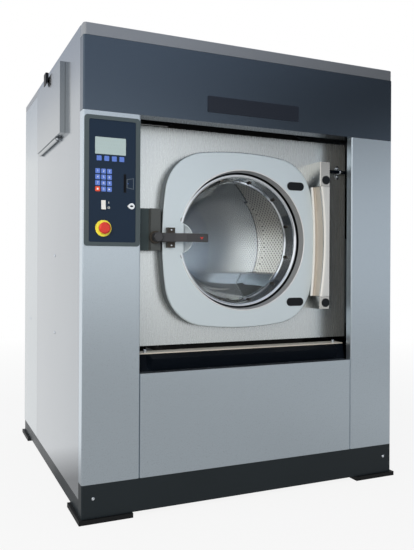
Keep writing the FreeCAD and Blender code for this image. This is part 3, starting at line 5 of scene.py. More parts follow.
import bmesh
import bpy
from bpy.props import FloatProperty, FloatVectorProperty, PointerProperty
from mathutils import Matrix, Vector


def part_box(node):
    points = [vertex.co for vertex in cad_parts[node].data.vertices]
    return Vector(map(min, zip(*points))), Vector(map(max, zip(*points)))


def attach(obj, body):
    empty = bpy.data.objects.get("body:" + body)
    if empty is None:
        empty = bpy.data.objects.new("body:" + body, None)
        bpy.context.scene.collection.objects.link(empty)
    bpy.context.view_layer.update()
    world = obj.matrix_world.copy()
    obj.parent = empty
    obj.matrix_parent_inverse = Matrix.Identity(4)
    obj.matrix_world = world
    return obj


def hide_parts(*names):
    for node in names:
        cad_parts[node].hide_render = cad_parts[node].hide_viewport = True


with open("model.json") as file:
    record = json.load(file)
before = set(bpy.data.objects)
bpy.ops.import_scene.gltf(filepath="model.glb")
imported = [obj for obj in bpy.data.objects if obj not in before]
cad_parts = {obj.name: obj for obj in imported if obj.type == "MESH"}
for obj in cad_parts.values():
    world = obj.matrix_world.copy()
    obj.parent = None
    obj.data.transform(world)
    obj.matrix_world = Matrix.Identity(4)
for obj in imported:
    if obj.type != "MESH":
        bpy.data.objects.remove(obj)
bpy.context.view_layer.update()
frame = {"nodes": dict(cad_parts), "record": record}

bl_info = {
    "name": "Washer-Extractor Dressing",
    "version": (1, 0, 0),
    "blender": (4, 5, 0),
    "location": "View3D > Sidebar > Washer",
    "description": "Finishes, fasteners, marks and stage for a front-loading washer-extractor",
    "category": "Object",
}

MM = 0.001
FRONT = Vector((0, -1, 0))
LEFT = Vector((-1, 0, 0))
REAR = Vector((0, 1, 0))
UP = Vector((0, 0, 1))
WHITE = (1, 1, 1, 1)
RGBA = {"data_type": "RGBA"}
# Nearly all values of a noise texture lie in this span.
NOISE_SPAN = {"From Min": 0.3, "From Max": 0.7}


def linear(hex_code):
    """A linear colour from an sRGB hex value."""
    channels = []
    for place in (1, 3, 5):
        value = int(hex_code[place:place + 2], 16) / 255
        channels.append(value / 12.92 if value <= 0.04045 else ((value + 0.055) / 1.055) ** 2.4)
    return tuple(channels)


def colour(name, description, hex_code):
    """A colour property with its default given in sRGB hex."""
    return FloatVectorProperty(name=name, description=description, subtype="COLOR", size=3, min=0, max=1,
                               default=linear(hex_code))


def length(name, description, millimetres):
    """A length property with its default given in millimetres."""
    return FloatProperty(name=name, description=description, unit="LENGTH", min=0, precision=5,
                         default=millimetres * MM)


class WasherFinishes(bpy.types.PropertyGroup):
    silver: colour("Silver enamel", "Columns and lower front panel", "#c6d2db")
    slate: colour("Slate enamel", "Header fascia", "#56626f")
    cap: colour("Cap enamel", "Roof and its front lip", "#999da2")
    plinth: colour("Plinth coat", "Plinth and base frame", "#1b2328")
    badge: colour("Badge lacquer", "Bare plate on the header", "#1c2330")
    foot: colour("Foot coat", "Foot plates and dampers", "#0f1113")
    side: colour("Side steel", "Brushed stainless side panels", "#9fa5ab")
    rear_side: colour("Rear side steel", "Brushed stainless panels behind the sides", "#b9c0c4")
    flap: colour("Flap steel", "Brushed stainless flap of the soap hopper", "#a3a8ab")
    recess: colour("Recess steel", "Tub front plate", "#e4ebed")
    door: colour("Door steel", "Door plate", "#e9f5fa")
    sill: colour("Sill steel", "Strip above the bumper", "#e2ddd2")
    hinge: colour("Hinge steel", "Hinge post", "#eceae4")
    hinge_box: colour("Hinge box steel", "Hinge boxes", "#d6d4cf")
    polished: colour("Polished steel", "Door ring and small bright pieces", "#e9eef3")
    clip: colour("Clip steel", "Clips that hold the glass", "#77706a")
    # The post's wall is darker and warmer than its steel: painted shade and a painted warm reflection on the
    # side that faces left, on steel that is also duller.
    dull: colour("Dull steel", "Wall of the hinge post", "#cdc6bb")
    drum: colour("Drum steel", "Punched wall of the drum", "#dfd7c8")
    # The lifters' grey is darker than the drum's steel as painted shade inside the drum.
    lifter: colour("Lifter steel", "Lifters of the drum", "#74797b")
    # The end wall's blue cast is a painted reflection of a bluish room on the steel's own pale tone.
    drum_end_and_reflection: colour("Drum end steel", "Polished end wall of the drum", "#eaf4ff")
    rubber: colour("Rubber", "Knee bumper, seal, springs and belt", "#090e15")
    lock: colour("Lock housing", "Front of the moulded lock housing", "#4e5355")
    lock_step: colour("Lock step", "Step at the left of the lock housing", "#3f4c50")
    lever: colour("Lever", "Lever of the door", "#3d3f43")
    keeper: colour("Keeper", "Blackened steel bracket of the lever", "#3a3733")
    bezel: colour("Bezel", "Frame of the control panel", "#48545a")
    overlay: colour("Overlay", "Printed film of the control panel", "#15273c")
    display: colour("Display", "Liquid crystal window", "#a8bec3")
    key: colour("Key", "Keys of the control panel", "#5f80d6")
    red_key: colour("Red key", "Stop key of the keypad", "#e2553b")
    mark: colour("Mark", "Printed digits and signs", "#e6ebee")
    faint_mark: colour("Faint mark", "Printed card sign", "#66737f")
    rocker: colour("Rocker", "Power rocker", "#e4e7e9")
    stop_disc: colour("Stop disc", "Disc round the emergency stop", "#eee84f")
    stop_head: colour("Stop head", "Head of the emergency stop", "#cf3a30")
    guard: colour("Guard", "Formed guard behind the lever", "#d9e8f3")
    glass: colour("Glass", "Tint of the door's bowl", "#ecf3fb")
    motor: colour("Motor coat", "Motor housing", "#38495a")
    iron: colour("Cast iron", "Bearing housing, spider and pulleys", "#5a5b5c")
    zinc: colour("Zinc", "Galvanised rear sheet and drive box", "#a7abad")
    brass: colour("Brass", "Hose unions", "#b99a57")
    trim: colour("Trim", "Small black plastic pieces", "#0e1218")
    tray: colour("Tray", "Soap hopper and drain mouldings", "#8b8f92")
    # The tub's coat is near-black partly as painted shade: it darkens the gaps above and below the front
    # plate, where the tub shows through.
    deadening: colour("Deadening coat", "Coat round the tub", "#121314")


class WasherSizes(bpy.types.PropertyGroup):
    screw_head: length("Screw head", "Radius of a casing screw's head", 6)
    small_screw: length("Small screw", "Radius of a small screw's head", 4)
    brush_line: length("Brush line", "Width of a brushed line", 1.2)
    brush_run: length("Brush run", "Length of a brushed line", 160)
    paint_grain: length("Paint grain", "Size of the paint's flakes", 1.6)
    mould_grain: length("Mould grain", "Size of a moulded surface's grain", 1.4)
    drum_hole: length("Drum hole", "Radius of a drum hole", 4.2)
    drum_row: length("Drum row", "Distance between rows of drum holes", 11)
    drum_pitch: length("Drum pitch", "Distance between drum holes along a row", 28)
    digit: length("Digit", "Height of a key's digit", 11)


class WasherStage(bpy.types.PropertyGroup):
    camera_place: FloatVectorProperty(name="Camera", description="Place of the camera", subtype="TRANSLATION",
                                      default=(-1.1465, -2.7774, 0.8764))
    camera_turn: FloatProperty(name="Turn", description="Turn of the camera to the right", subtype="ANGLE",
                               default=math.radians(24.107))
    camera_roll: FloatProperty(name="Roll", description="Roll of the camera", subtype="ANGLE",
                               default=math.radians(0.269))
    lens: FloatProperty(name="Lens", description="Focal length in millimetres", default=41.6)
    shift: FloatProperty(name="Shift", description="Upward shift of the frame", default=-0.0169)
    key_light: FloatProperty(name="Key light", description="Power of the large front light", subtype="POWER",
                             default=95)
    side_light: FloatProperty(name="Side light", description="Power of the light at the left",
                              subtype="POWER", default=60)
    top_light: FloatProperty(name="Top light", description="Power of the light above", subtype="POWER",
                             default=50)
    ambient: FloatProperty(name="Ambient", description="Strength of the even light all round", default=0.38)
    shade_tint: colour("Ambient tint", "Cool tone of the even light", "#f0f6ff")
    key_tint: colour("Key tint", "Warm tone of the large front light", "#fff4e4")
    ceiling: colour("Ceiling", "Tone of the card that the steel mirrors from above", "#c3c9d4")
    right_card: colour("Right card", "Tone of the card that the front mirrors at the right", "#d2d5d9")


def finishes():
    """The colours of the machine."""
    return bpy.context.scene.washer_finishes


def sizes():
    """The sizes of small pieces and of surface patterns."""
    return bpy.context.scene.washer_sizes


def add(tree, kind, *inputs, **settings):
    """Adds a shader node and sets it; its inputs, in order or by key, are values, sockets or other nodes."""
    node = tree.nodes.new("ShaderNode" + kind)
    for name, value in settings.items():
        setattr(node, name, value)
    by_key = inputs[0] if inputs and isinstance(inputs[0], dict) else dict(enumerate(inputs))
    for key, value in by_key.items():
        if isinstance(value, bpy.types.Node):
            value = next(socket for socket in value.outputs if socket.enabled)
        if isinstance(value, bpy.types.NodeSocket):
            tree.links.new(value, node.inputs[key])
        else:
            node.inputs[key].default_value = value
    return node


def surface(recipe):
    """Makes a material function from a recipe that gets add for its tree, and the object coordinates."""
    @functools.wraps(recipe)
    def material(name, *values, **named):
        made = bpy.data.materials.new(name)
        made.use_nodes = True
        made.node_tree.nodes.clear()
        node = functools.partial(add, made.node_tree)
        spot = node("TexCoord").outputs["Object"]
        node("OutputMaterial", {"Surface": recipe(node, spot, *values, **named)})
        return made
    return material


def full(rgb):
    """A colour with its alpha, as the sockets want it."""
    return (rgb[0], rgb[1], rgb[2], 1)


def shade(rgb, factor):
    """The same colour, lighter or darker."""
    return full([min(1, channel * factor) for channel in rgb])


def grained(node, grain, rgb, tones, rough, relief=None, gloss=None):
    """Shader inputs for a grain's tones, roughness and relief; another pattern may carry the roughness."""
    dark, light = tones
    low, high = rough
    skin = {
        "Base Color": node("Mix", {0: grain, 6: shade(rgb, dark), 7: shade(rgb, light)}, **RGBA),
        "Roughness": node("MapRange", {"Value": gloss or grain, **NOISE_SPAN, "To Min": low, "To Max": high}),
    }
    if relief:
        strength, depth = relief
        skin["Normal"] = node("Bump", {"Height": grain, "Strength": strength, "Distance": depth})
    return skin


def veiled(node, clouds, base, veil, share):
    """A base tone under a veil that comes and goes with clouds, up to a share."""
    cover = node("MapRange", {"Value": clouds, **NOISE_SPAN, "To Max": share})
    return node("Mix", {0: cover, 6: base, 7: veil}, **RGBA)


def lathe_rings(node, spot, centre, y_share):
    """The distance from an axis along Y, with a share of Y in it, and fine rings at that distance."""
    local = node("VectorMath", spot, centre, operation="SUBTRACT")
    flat = node("VectorMath", local, (1, y_share, 1), operation="MULTIPLY")
    radius = node("VectorMath", flat, operation="LENGTH")
    rings = node("TexNoise", {"W": radius, "Scale": 1 / sizes().brush_line, "Detail": 2},
                 noise_dimensions="1D")
    return radius, rings


@surface
def brushed_stainless(node, spot, rgb, along, rough, metallic, rim=1.0):
    """Stainless sheet, belt-brushed along one axis; a drawn rim may be painted darker than the flat, as
    painted shade.
    """
    # The belt leaves long fine scratches, so highlights stretch across them and the tone streaks a little.
    # A real scratch is about 0.05 mm wide; it is drawn coarser here so that it shows at this size.
    scale = [1 / sizes().brush_line] * 3
    scale["XYZ".index(along)] = 1 / sizes().brush_run
    drawn_out = node("Mapping", {"Vector": spot, "Scale": scale})
    streaks = node("TexNoise", {"Vector": drawn_out, "Scale": 1, "Detail": 3})
    clouds = node("TexNoise", {"Vector": spot, "Scale": 1 / (400 * MM), "Detail": 2})
    skin = grained(node, streaks, rgb, tones=(0.98, 1.02), rough=(rough - 0.02, rough + 0.025),
                   relief=(0.012, 0.3 * MM))
    skin["Base Color"] = veiled(node, clouds, skin["Base Color"], shade(rgb, 0.9), share=0.35)
    # Faces that turn away from the front are painted darker by this factor: painted shade on the sheet's side
    # wall.
    if rim < 1:
        facing = node("SeparateXYZ", spot.node.outputs["Normal"])
        flatness = node("Math", facing.outputs["Y"], operation="ABSOLUTE")
        flat = node("MapRange", {"Value": flatness, "From Min": 0.15, "From Max": 0.5})
        skin["Base Color"] = node("Mix", {0: flat, 6: shade(rgb, rim), 7: skin["Base Color"]}, **RGBA)
    return node("BsdfPrincipled", {**skin, "Metallic": metallic})


@surface
def polished_steel(node, spot, rgb, centre, rough):
    """Stainless steel, turned and polished."""
    # Polishing leaves faint rings round the axis, which spread a highlight into a thin fan.
    # A real ring is about 0.05 mm wide; it is drawn coarser here so that it shows.
    rings = lathe_rings(node, spot, centre, y_share=0.3)[1]
    skin = grained(node, rings, rgb, tones=(0.92, 1.04), rough=(rough, rough + 0.08), relief=(0.05, 0.3 * MM))
    return node("BsdfPrincipled", {**skin, "Metallic": 1.0})


@surface
def spun_ring_stainless(node, spot, rgb, centre, groove, throat):
    """Stainless ring, spun and polished on its bead, and left satin in its throat."""
    # The bead is a mirror; its outer part and the crevice behind it are painted near-black, as painted shade
    # and a painted dark reflection, and the throat is satin, its grey darkened as painted shade.
    # Real rings are about 0.05 mm wide; they are drawn coarser here so that they show.
    radius, rings = lathe_rings(node, spot, centre, y_share=0)
    bright = node("Mix", {0: rings, 6: shade(rgb, 0.94), 7: shade(rgb, 1.03)}, **RGBA)
    # From just inside the groove's radius the steel is painted near-black and rough: painted shade in the
    # crevice and a painted dark reflection on the bead's outer side.
    painted_crevice_shade = node("MapRange", {"Value": radius, "From Min": groove - 1.5 * MM, "From Max": groove})
    beyond = node("MapRange", {"Value": radius, "From Min": throat, "From Max": throat + 0.5 * MM})
    ring_with_painted_crevice_shade = node("Mix", {0: painted_crevice_shade, 6: bright, 7: shade(rgb, 0.02)}, **RGBA)
    # Inside the throat the satin steel is painted darker, as the shade that falls there.
    tone = node("Mix", {0: beyond, 6: ring_with_painted_crevice_shade, 7: shade(rgb, 0.55)}, **RGBA)
    gloss = node("MapRange", {"Value": painted_crevice_shade, "To Min": 0.1, "To Max": 0.45})
    metal = node("MapRange", {"Value": beyond, "To Min": 1, "To Max": 0.5})
    return node("BsdfPrincipled", {"Base Color": tone, "Metallic": metal, "Roughness": gloss})


@surface
def metallic_enamel(node, spot, rgb, metallic, rough, specular):
    """Sprayed and baked enamel with aluminium flake."""
    # The flakes sparkle faintly, and the sprayed skin has a slight orange-peel ripple under a soft gloss.
    # A flake is about 0.03 mm; its sparkle is drawn coarser here so that it shows.
    grain = sizes().paint_grain
    flakes = node("TexNoise", {"Vector": spot, "Scale": 1 / grain, "Detail": 2})
    ripple = node("TexNoise", {"Vector": spot, "Scale": 1 / (5 * grain)})
    clouds = node("TexNoise", {"Vector": spot, "Scale": 1 / (500 * MM)})
    skin = grained(node, flakes, rgb, tones=(0.97, 1.03), rough=(rough - 0.02, rough + 0.02))
    skin["Base Color"] = veiled(node, clouds, skin["Base Color"], shade(rgb, 0.94), share=0.25)
    bump = node("Bump", {"Height": ripple, "Strength": 0.015, "Distance": 0.5 * MM})
    return node("BsdfPrincipled", {**skin, "Metallic": metallic, "Specular IOR Level": specular,
                                   "Normal": bump})


@surface
def powder_coat(node, spot, rgb, rough, specular):
    """Polyester powder baked on steel."""
    # Powder melts into a fine pebbled skin, so the gloss is broken up and the edges look soft.
    pebble = node("TexNoise", {"Vector": spot, "Scale": 1 / sizes().mould_grain, "Detail": 2})
    clouds = node("TexNoise", {"Vector": spot, "Scale": 1 / (350 * MM), "Detail": 3})
    skin = grained(node, pebble, rgb, tones=(0.9, 1.12), rough=(rough - 0.06, rough + 0.08),
                   relief=(0.08, 0.3 * MM), gloss=clouds)
    skin["Base Color"] = veiled(node, clouds, skin["Base Color"], shade(rgb, 1.2), share=0.3)
    return node("BsdfPrincipled", {**skin, "Specular IOR Level": specular})


@surface
def moulded_rubber(node, spot, rgb):
    """Black EPDM rubber, pressed in a mould."""
    # The mould's grain dulls the black, and rubbed places, wider than high, turn a little greyer.
    # Real grain is about 0.3 mm; it is drawn coarser here so that it shows.
    drawn_out = node("Mapping", {"Vector": spot, "Scale": (1 / (90 * MM), 1 / (30 * MM), 1 / (30 * MM))})
    grain = node("TexNoise", {"Vector": spot, "Scale": 1 / sizes().mould_grain, "Detail": 3})
    scuff = node("TexNoise", {"Vector": drawn_out, "Scale": 1, "Detail": 4})
    skin = grained(node, grain, rgb, tones=(0.8, 1.25), rough=(0.4, 0.56), relief=(0.15, 0.4 * MM),
                   gloss=scuff)
    skin["Base Color"] = veiled(node, scuff, skin["Base Color"], shade(rgb, 2.4), share=0.25)
    return node("BsdfPrincipled", {**skin, "Specular IOR Level": 0.05})


@surface
def moulded_plastic(node, spot, rgb, rough, specular):
    """ABS, injection-moulded in a spark-eroded tool."""
    # The tool's even grain gives a soft, slightly speckled gloss.
    # Real grain is about 0.2 mm; it is drawn coarser here so that it shows.
    grain = node("TexNoise", {"Vector": spot, "Scale": 1 / sizes().mould_grain, "Detail": 2})
    skin = grained(node, grain, rgb, tones=(0.9, 1.1), rough=(rough - 0.05, rough + 0.06),
                   relief=(0.08, 0.2 * MM))
    return node("BsdfPrincipled", {**skin, "Specular IOR Level": specular})


@surface
def two_tone_plastic(node, spot, rgb, left_rgb, split_x):
    """ABS, moulded in two shots, a dark one left of an upright line."""
    # Both shots come from the same spark-eroded tool, so the grain and soft gloss run across the line.
    # Real grain is about 0.2 mm; it is drawn coarser here so that it shows.
    parts = node("SeparateXYZ", spot)
    left = node("Math", parts.outputs["X"], split_x, operation="LESS_THAN")
    grain = node("TexNoise", {"Vector": spot, "Scale": 1 / sizes().mould_grain, "Detail": 2})
    skin = grained(node, grain, rgb, tones=(0.9, 1.1), rough=(0.38, 0.5), relief=(0.08, 0.2 * MM))
    skin["Base Color"] = node("Mix", {0: left, 6: skin["Base Color"], 7: full(left_rgb)}, **RGBA)
    return node("BsdfPrincipled", {**skin, "Specular IOR Level": 0.25})


@surface
def punched_stainless(node, spot, rgb, end_rgb_and_reflection, centre, radius, seam_y):
    """Stainless drum sheet, punched with staggered rows of holes, rolled and polished."""
    # Punched holes are painted as near-black dots between bright steel, the painted shade of the tub seen
    # through them; the end wall is plain and mirrors the drum, and its blue cast is a painted reflection of a
    # bluish room.
    # A real hole is about 5 mm wide; it is drawn larger and further apart here so that it shows.
    row_gap, pitch, hole = sizes().drum_row, sizes().drum_pitch, sizes().drum_hole
    local = node("VectorMath", spot, centre, operation="SUBTRACT")
    parts = node("SeparateXYZ", local)
    turn = node("Math", parts.outputs["Z"], parts.outputs["X"], operation="ARCTAN2")
    around = node("Math", turn, radius / row_gap, operation="MULTIPLY")
    along = node("Math", parts.outputs["Y"], 1 / pitch, operation="MULTIPLY")
    row = node("Math", around, operation="FLOOR")
    stagger = node("Math", row, 0.5, operation="MULTIPLY")
    shifted = node("Math", along, stagger, operation="ADD")
    across = node("Math", around, operation="FRACT")
    down = node("Math", shifted, operation="FRACT")
    cell = node("CombineXYZ", across, down)
    middled = node("VectorMath", cell, (0.5, 0.5, 0), operation="SUBTRACT")
    in_metres = node("VectorMath", middled, (row_gap, pitch, 0), operation="MULTIPLY")
    off = node("VectorMath", in_metres, operation="LENGTH")
    dots = node("MapRange", {"Value": off, "From Min": 0.8 * hole, "From Max": 1.2 * hole,
                             "To Min": 1, "To Max": 0})
    facing = node("SeparateXYZ", node("NewGeometry").outputs["Normal"])
    lengthwise = node("Math", facing.outputs["Y"], operation="ABSOLUTE")
    on_wall = node("Math", lengthwise, 0.5, operation="LESS_THAN")
    holes = node("Math", dots, on_wall, operation="MULTIPLY")
    seam = node("Math", parts.outputs["Y"], seam_y, operation="GREATER_THAN")
    edge = node("Math", seam, on_wall, operation="MULTIPLY")
    dark = node("Math", holes, edge, operation="MAXIMUM")
    clouds = node("TexNoise", {"Vector": spot, "Scale": 1 / (200 * MM)})
    steel = node("Mix", {0: clouds, 6: shade(rgb, 0.92), 7: shade(rgb, 1.04)}, **RGBA)
    plain = node("Mix", {0: on_wall, 6: full(end_rgb_and_reflection), 7: steel}, **RGBA)
    # The holes are painted near-black: the painted shade inside the tub behind them.
    tone = node("Mix", {0: dark, 6: plain, 7: shade(rgb, 0.01)}, **RGBA)
    gloss = node("MapRange", {"Value": on_wall, "To Min": 0.1, "To Max": 0.35})
    metal = node("MapRange", {"Value": on_wall, "To Min": 0.8, "To Max": 0.2})
    bump = node("Bump", {"Height": holes, "Strength": 0.3, "Distance": -1 * MM})
    return node("BsdfPrincipled", {"Base Color": tone, "Metallic": metal, "Roughness": gloss, "Normal": bump})


@surface
def cast_iron(node, spot, rgb):
    """Grey iron, sand-cast and primed."""
    # Sand leaves a coarse matt skin with darker hollows, about 2.5 mm across.
    sand = node("TexNoise", {"Vector": spot, "Scale": 1 / (2.5 * MM), "Detail": 4})
    skin = grained(node, sand, rgb, tones=(0.7, 1.2), rough=(0.55, 0.75), relief=(0.4, 0.8 * MM))
    return node("BsdfPrincipled", {**skin, "Metallic": 0.3})


@surface
def galvanised_sheet(node, spot, rgb):
    """Steel sheet, hot-dip galvanised."""
    # Zinc freezes in feathery spangles about 12 mm across, each a little lighter or darker.
    spangle = node("TexVoronoi", {"Vector": spot, "Scale": 1 / (12 * MM)})
    grey = node("SeparateColor", spangle.outputs["Color"])
    tone = node("Mix", {0: grey, 6: shade(rgb, 0.86), 7: shade(rgb, 1.06)}, **RGBA)
    satin = node("MapRange", {"Value": grey, "To Min": 0.4, "To Max": 0.55})
    return node("BsdfPrincipled", {"Base Color": tone, "Metallic": 0.85, "Roughness": satin})


@surface
def turned_brass(node, spot, rgb):
    """Brass, turned on a lathe and left to dull."""
    # The tool leaves fine lines, and air a thin brown tarnish.
    # Real lines are about 0.2 mm apart; they are drawn 1 mm apart here so that they show.
    drawn_out = node("Mapping", {"Vector": spot, "Scale": (1 / (20 * MM), 1 / MM, 1 / (20 * MM))})
    lines = node("TexNoise", {"Vector": drawn_out, "Scale": 1})
    skin = grained(node, lines, rgb, tones=(0.75, 1.1), rough=(0.28, 0.42))
    return node("BsdfPrincipled", {**skin, "Metallic": 1.0})


@surface
def pressed_glass(node, spot, rgb):
    """Borosilicate glass, pressed in a mould."""
    # A thin even wall bends what is behind it hardly at all, so its index is low and a coat gives the gleam.
    # The faint ripple of the mould is about 60 mm long.
    ripple = node("TexNoise", {"Vector": spot, "Scale": 1 / (60 * MM)})
    bump = node("Bump", {"Height": ripple, "Strength": 0.006, "Distance": 1 * MM})
    return node("BsdfPrincipled", {
        "Base Color": full(rgb), "Roughness": 0.02, "IOR": 1.06, "Transmission Weight": 1.0,
        "Coat Weight": 0.5, "Normal": bump, "Coat Normal": bump})


@surface
def formed_guard(node, spot, rgb):
    """Polycarbonate, vacuum-formed."""
    # The formed sheet is milky and slightly blue, with fine rub marks a few millimetres wide.
    drawn_out = node("Mapping", {"Vector": spot, "Scale": (1 / (4 * MM), 1 / (4 * MM), 1 / (30 * MM))})
    rubs = node("TexNoise", {"Vector": drawn_out, "Scale": 1})
    haze = node("MapRange", {"Value": rubs, **NOISE_SPAN, "To Min": 0.12, "To Max": 0.3})
    return node("BsdfPrincipled", {"Base Color": full(rgb), "Roughness": haze, "IOR": 1.58,
                                   "Transmission Weight": 0.12})


@surface
def liquid_crystal(node, spot, rgb):
    """Liquid crystal window behind a clear hard coat."""
    # Rows of faint grey cells, 6 mm by 12 mm, on a pale blue-grey ground under a glossy skin.
    flat = node("Mapping", {"Vector": spot, "Rotation": (math.pi / 2, 0, 0)})
    cells = node("TexBrick", {
        "Vector": flat, "Color1": shade(rgb, 0.93), "Color2": shade(rgb, 0.97), "Mortar": full(rgb),
        "Scale": 1.0, "Brick Width": 6 * MM, "Row Height": 12 * MM, "Mortar Size": 2.2 * MM})
    return node("BsdfPrincipled", {"Base Color": cells, "Roughness": 0.2, "Coat Weight": 0.4})


@surface
def key_film(node, spot, rgb, red, corner):
    """Embossed polyester key domes, printed from behind."""
    # A satin film with one colour per key; the key at the low left corner is red.
    # The film's real grain is about 0.1 mm; it is drawn coarser here so that it shows.
    parts = node("SeparateXYZ", spot)
    left = node("Math", parts.outputs["X"], corner[0], operation="LESS_THAN")
    low = node("Math", parts.outputs["Z"], corner[1], operation="LESS_THAN")
    both = node("Math", left, low, operation="MULTIPLY")
    grain = node("TexNoise", {"Vector": spot, "Scale": 1 / sizes().mould_grain})
    skin = grained(node, grain, rgb, tones=(0.92, 1.06), rough=(0.35, 0.45))
    skin["Base Color"] = node("Mix", {0: both, 6: skin["Base Color"], 7: full(red)}, **RGBA)
    return node("BsdfPrincipled", {**skin, "Specular IOR Level": 0.3})


def dress(material, *nodes):
    """Gives CAD nodes a material."""
    for name in nodes:
        mesh = frame["nodes"][name].data
        mesh.materials.clear()
        mesh.materials.append(material)


def middle(node):
    """The middle of a CAD node's box."""
    low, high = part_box(node)
    return (Vector(low) + Vector(high)) / 2


class WASHER_OT_finish_casing(bpy.types.Operator):
    """Paints and brushes the casing's panels, plinth, feet and bumper."""
    bl_idname = "washer.finish_casing"
    bl_label = "Finish Casing"

    def execute(self, context):
        tone = finishes()
        dress(metallic_enamel("baked_silver_enamel", tone.silver, metallic=0.92, rough=0.29, specular=0.5),
              "control_column", "right_column", "lower_front_panel")
        dress(metallic_enamel("baked_slate_enamel", tone.slate, metallic=0.9, rough=0.22, specular=0.4),
              "header_fascia")
        dress(metallic_enamel("baked_grey_enamel", tone.cap, metallic=0.85, rough=0.3, specular=0.4),
              "top_cover")
        dress(metallic_enamel("lacquered_badge_aluminium", tone.badge, metallic=0.3, rough=0.3, specular=0.5),
              "badge_plate")
        dress(powder_coat("plinth_powder_coat", tone.plinth, rough=0.4, specular=0.3),
              "plinth_panel", "base_frame")
        dress(powder_coat("foot_powder_coat", tone.foot, rough=0.5, specular=0.25),
              "foot_plates", "damper_cylinders")
        dress(brushed_stainless("brushed_side_stainless", tone.side, "Z", rough=0.15, metallic=1.0),
              "left_side_panel", "right_side_panel")
        dress(brushed_stainless("brushed_flap_stainless", tone.flap, "Z", rough=0.17, metallic=1.0),
              "hopper_flap")
        dress(brushed_stainless("brushed_rear_side_stainless", tone.rear_side, "Z", rough=0.2, metallic=1.0),
              "rear_side_panels")
        dress(brushed_stainless("brushed_sill_stainless", tone.sill, "X", rough=0.45, metallic=0.35),
              "sill_strip")
        dress(galvanised_sheet("galvanised_rear_sheet", tone.zinc), "rear_panel", "inverter_box")
        dress(moulded_rubber("bumper_rubber", tone.rubber), "knee_bumper", "suspension_springs")
        dress(moulded_plastic("pull_plastic", tone.trim, rough=0.45, specular=0.25), "hopper_handle")
        dress(moulded_plastic("hopper_plastic", tone.tray, rough=0.45, specular=0.4),
              "hopper_box", "drain_outlet", "drain_valve")
        dress(polished_steel("hinge_rod_steel", tone.polished, middle("hopper_hinge_rod"), rough=0.12),
              "hopper_hinge_rod")
        dress(turned_brass("hose_union_brass", tone.brass), "inlet_valves")
        return {"FINISHED"}


class WASHER_OT_finish_controls(bpy.types.Operator):
    """Gives the control panel its film, keys, window and switches."""
    bl_idname = "washer.finish_controls"
    bl_label = "Finish Controls"

    def execute(self, context):
        tone = finishes()
        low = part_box("keypad_keys")[0]
        red_corner = (low[0] + 20 * MM, low[2] + 18 * MM)
        dress(liquid_crystal("display_window_film", tone.display), "display_window")
        dress(key_film("key_dome_film", tone.key, tone.red_key, red_corner), "keypad_keys")
        dress(polished_steel("switch_barrel_steel", tone.polished, middle("key_switch"), rough=0.14),
              "key_switch")
        for name, rgb, rough, specular, node in (
                ("bezel_plastic", tone.bezel, 0.5, 0.3, "control_bezel"),
                ("overlay_film", tone.overlay, 0.36, 0.25, "control_overlay"),
                ("reader_plastic", tone.trim, 0.45, 0.2, "card_reader"),
                ("rocker_plastic", tone.rocker, 0.35, 0.5, "power_rocker"),
                ("stop_disc_plastic", tone.stop_disc, 0.35, 0.4, "estop_collar"),
                ("stop_head_plastic", tone.stop_head, 0.3, 0.4, "estop_button")):
            dress(moulded_plastic(name, rgb, rough, specular), node)
        return {"FINISHED"}


class WASHER_OT_finish_door(bpy.types.Operator):
    """Finishes the door, its hinge, its lever and the plate behind it."""
    bl_idname = "washer.finish_door"
    bl_label = "Finish Door"

    def execute(self, context):
        tone = finishes()
        centre = middle("door_ring")
        # The ring is painted near-black from the groove's radius outward, and a darker satin grey from the
        # throat's radius, as painted shade.
        groove, throat = 261 * MM, 266 * MM
        lock_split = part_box("lock_box")[0][0] + 56 * MM
        dress(brushed_stainless("brushed_recess_stainless", tone.recess, "Z", rough=0.27, metallic=0.86),
              "tub_front_plate")
        # The door plate's side wall is painted to a fifth of its tone, as the shade that falls there.
        dress(brushed_stainless("satin_door_stainless", tone.door, "X", rough=0.42, metallic=0.85, rim=0.2),
              "door_plate")
        dress(brushed_stainless("brushed_hinge_stainless", tone.hinge_box, "Z", rough=0.24, metallic=1.0),
              "hinge_boxes")
        dress(spun_ring_stainless("spun_ring_stainless", tone.polished, centre, groove, throat), "door_ring")
        dress(polished_steel("clip_stainless", tone.clip, centre, rough=0.2), "ring_clips")
        dress(formed_guard("formed_guard_polycarbonate", tone.guard), "finger_guard")
        dress(moulded_plastic("plug_plastic", tone.trim, rough=0.45, specular=0.25),
              "door_plugs", "hinge_plugs")
        dress(two_tone_plastic("lock_plastic", tone.lock, tone.lock_step, lock_split), "lock_box")
        dress(powder_coat("lever_powder_coat", tone.lever, rough=0.38, specular=0.35), "door_lever")
        dress(powder_coat("keeper_powder_coat", tone.keeper, rough=0.4, specular=0.3), "lever_bracket")
        dress(moulded_rubber("seal_rubber", tone.rubber), "door_seal", "lock_lead")
        return {"FINISHED"}


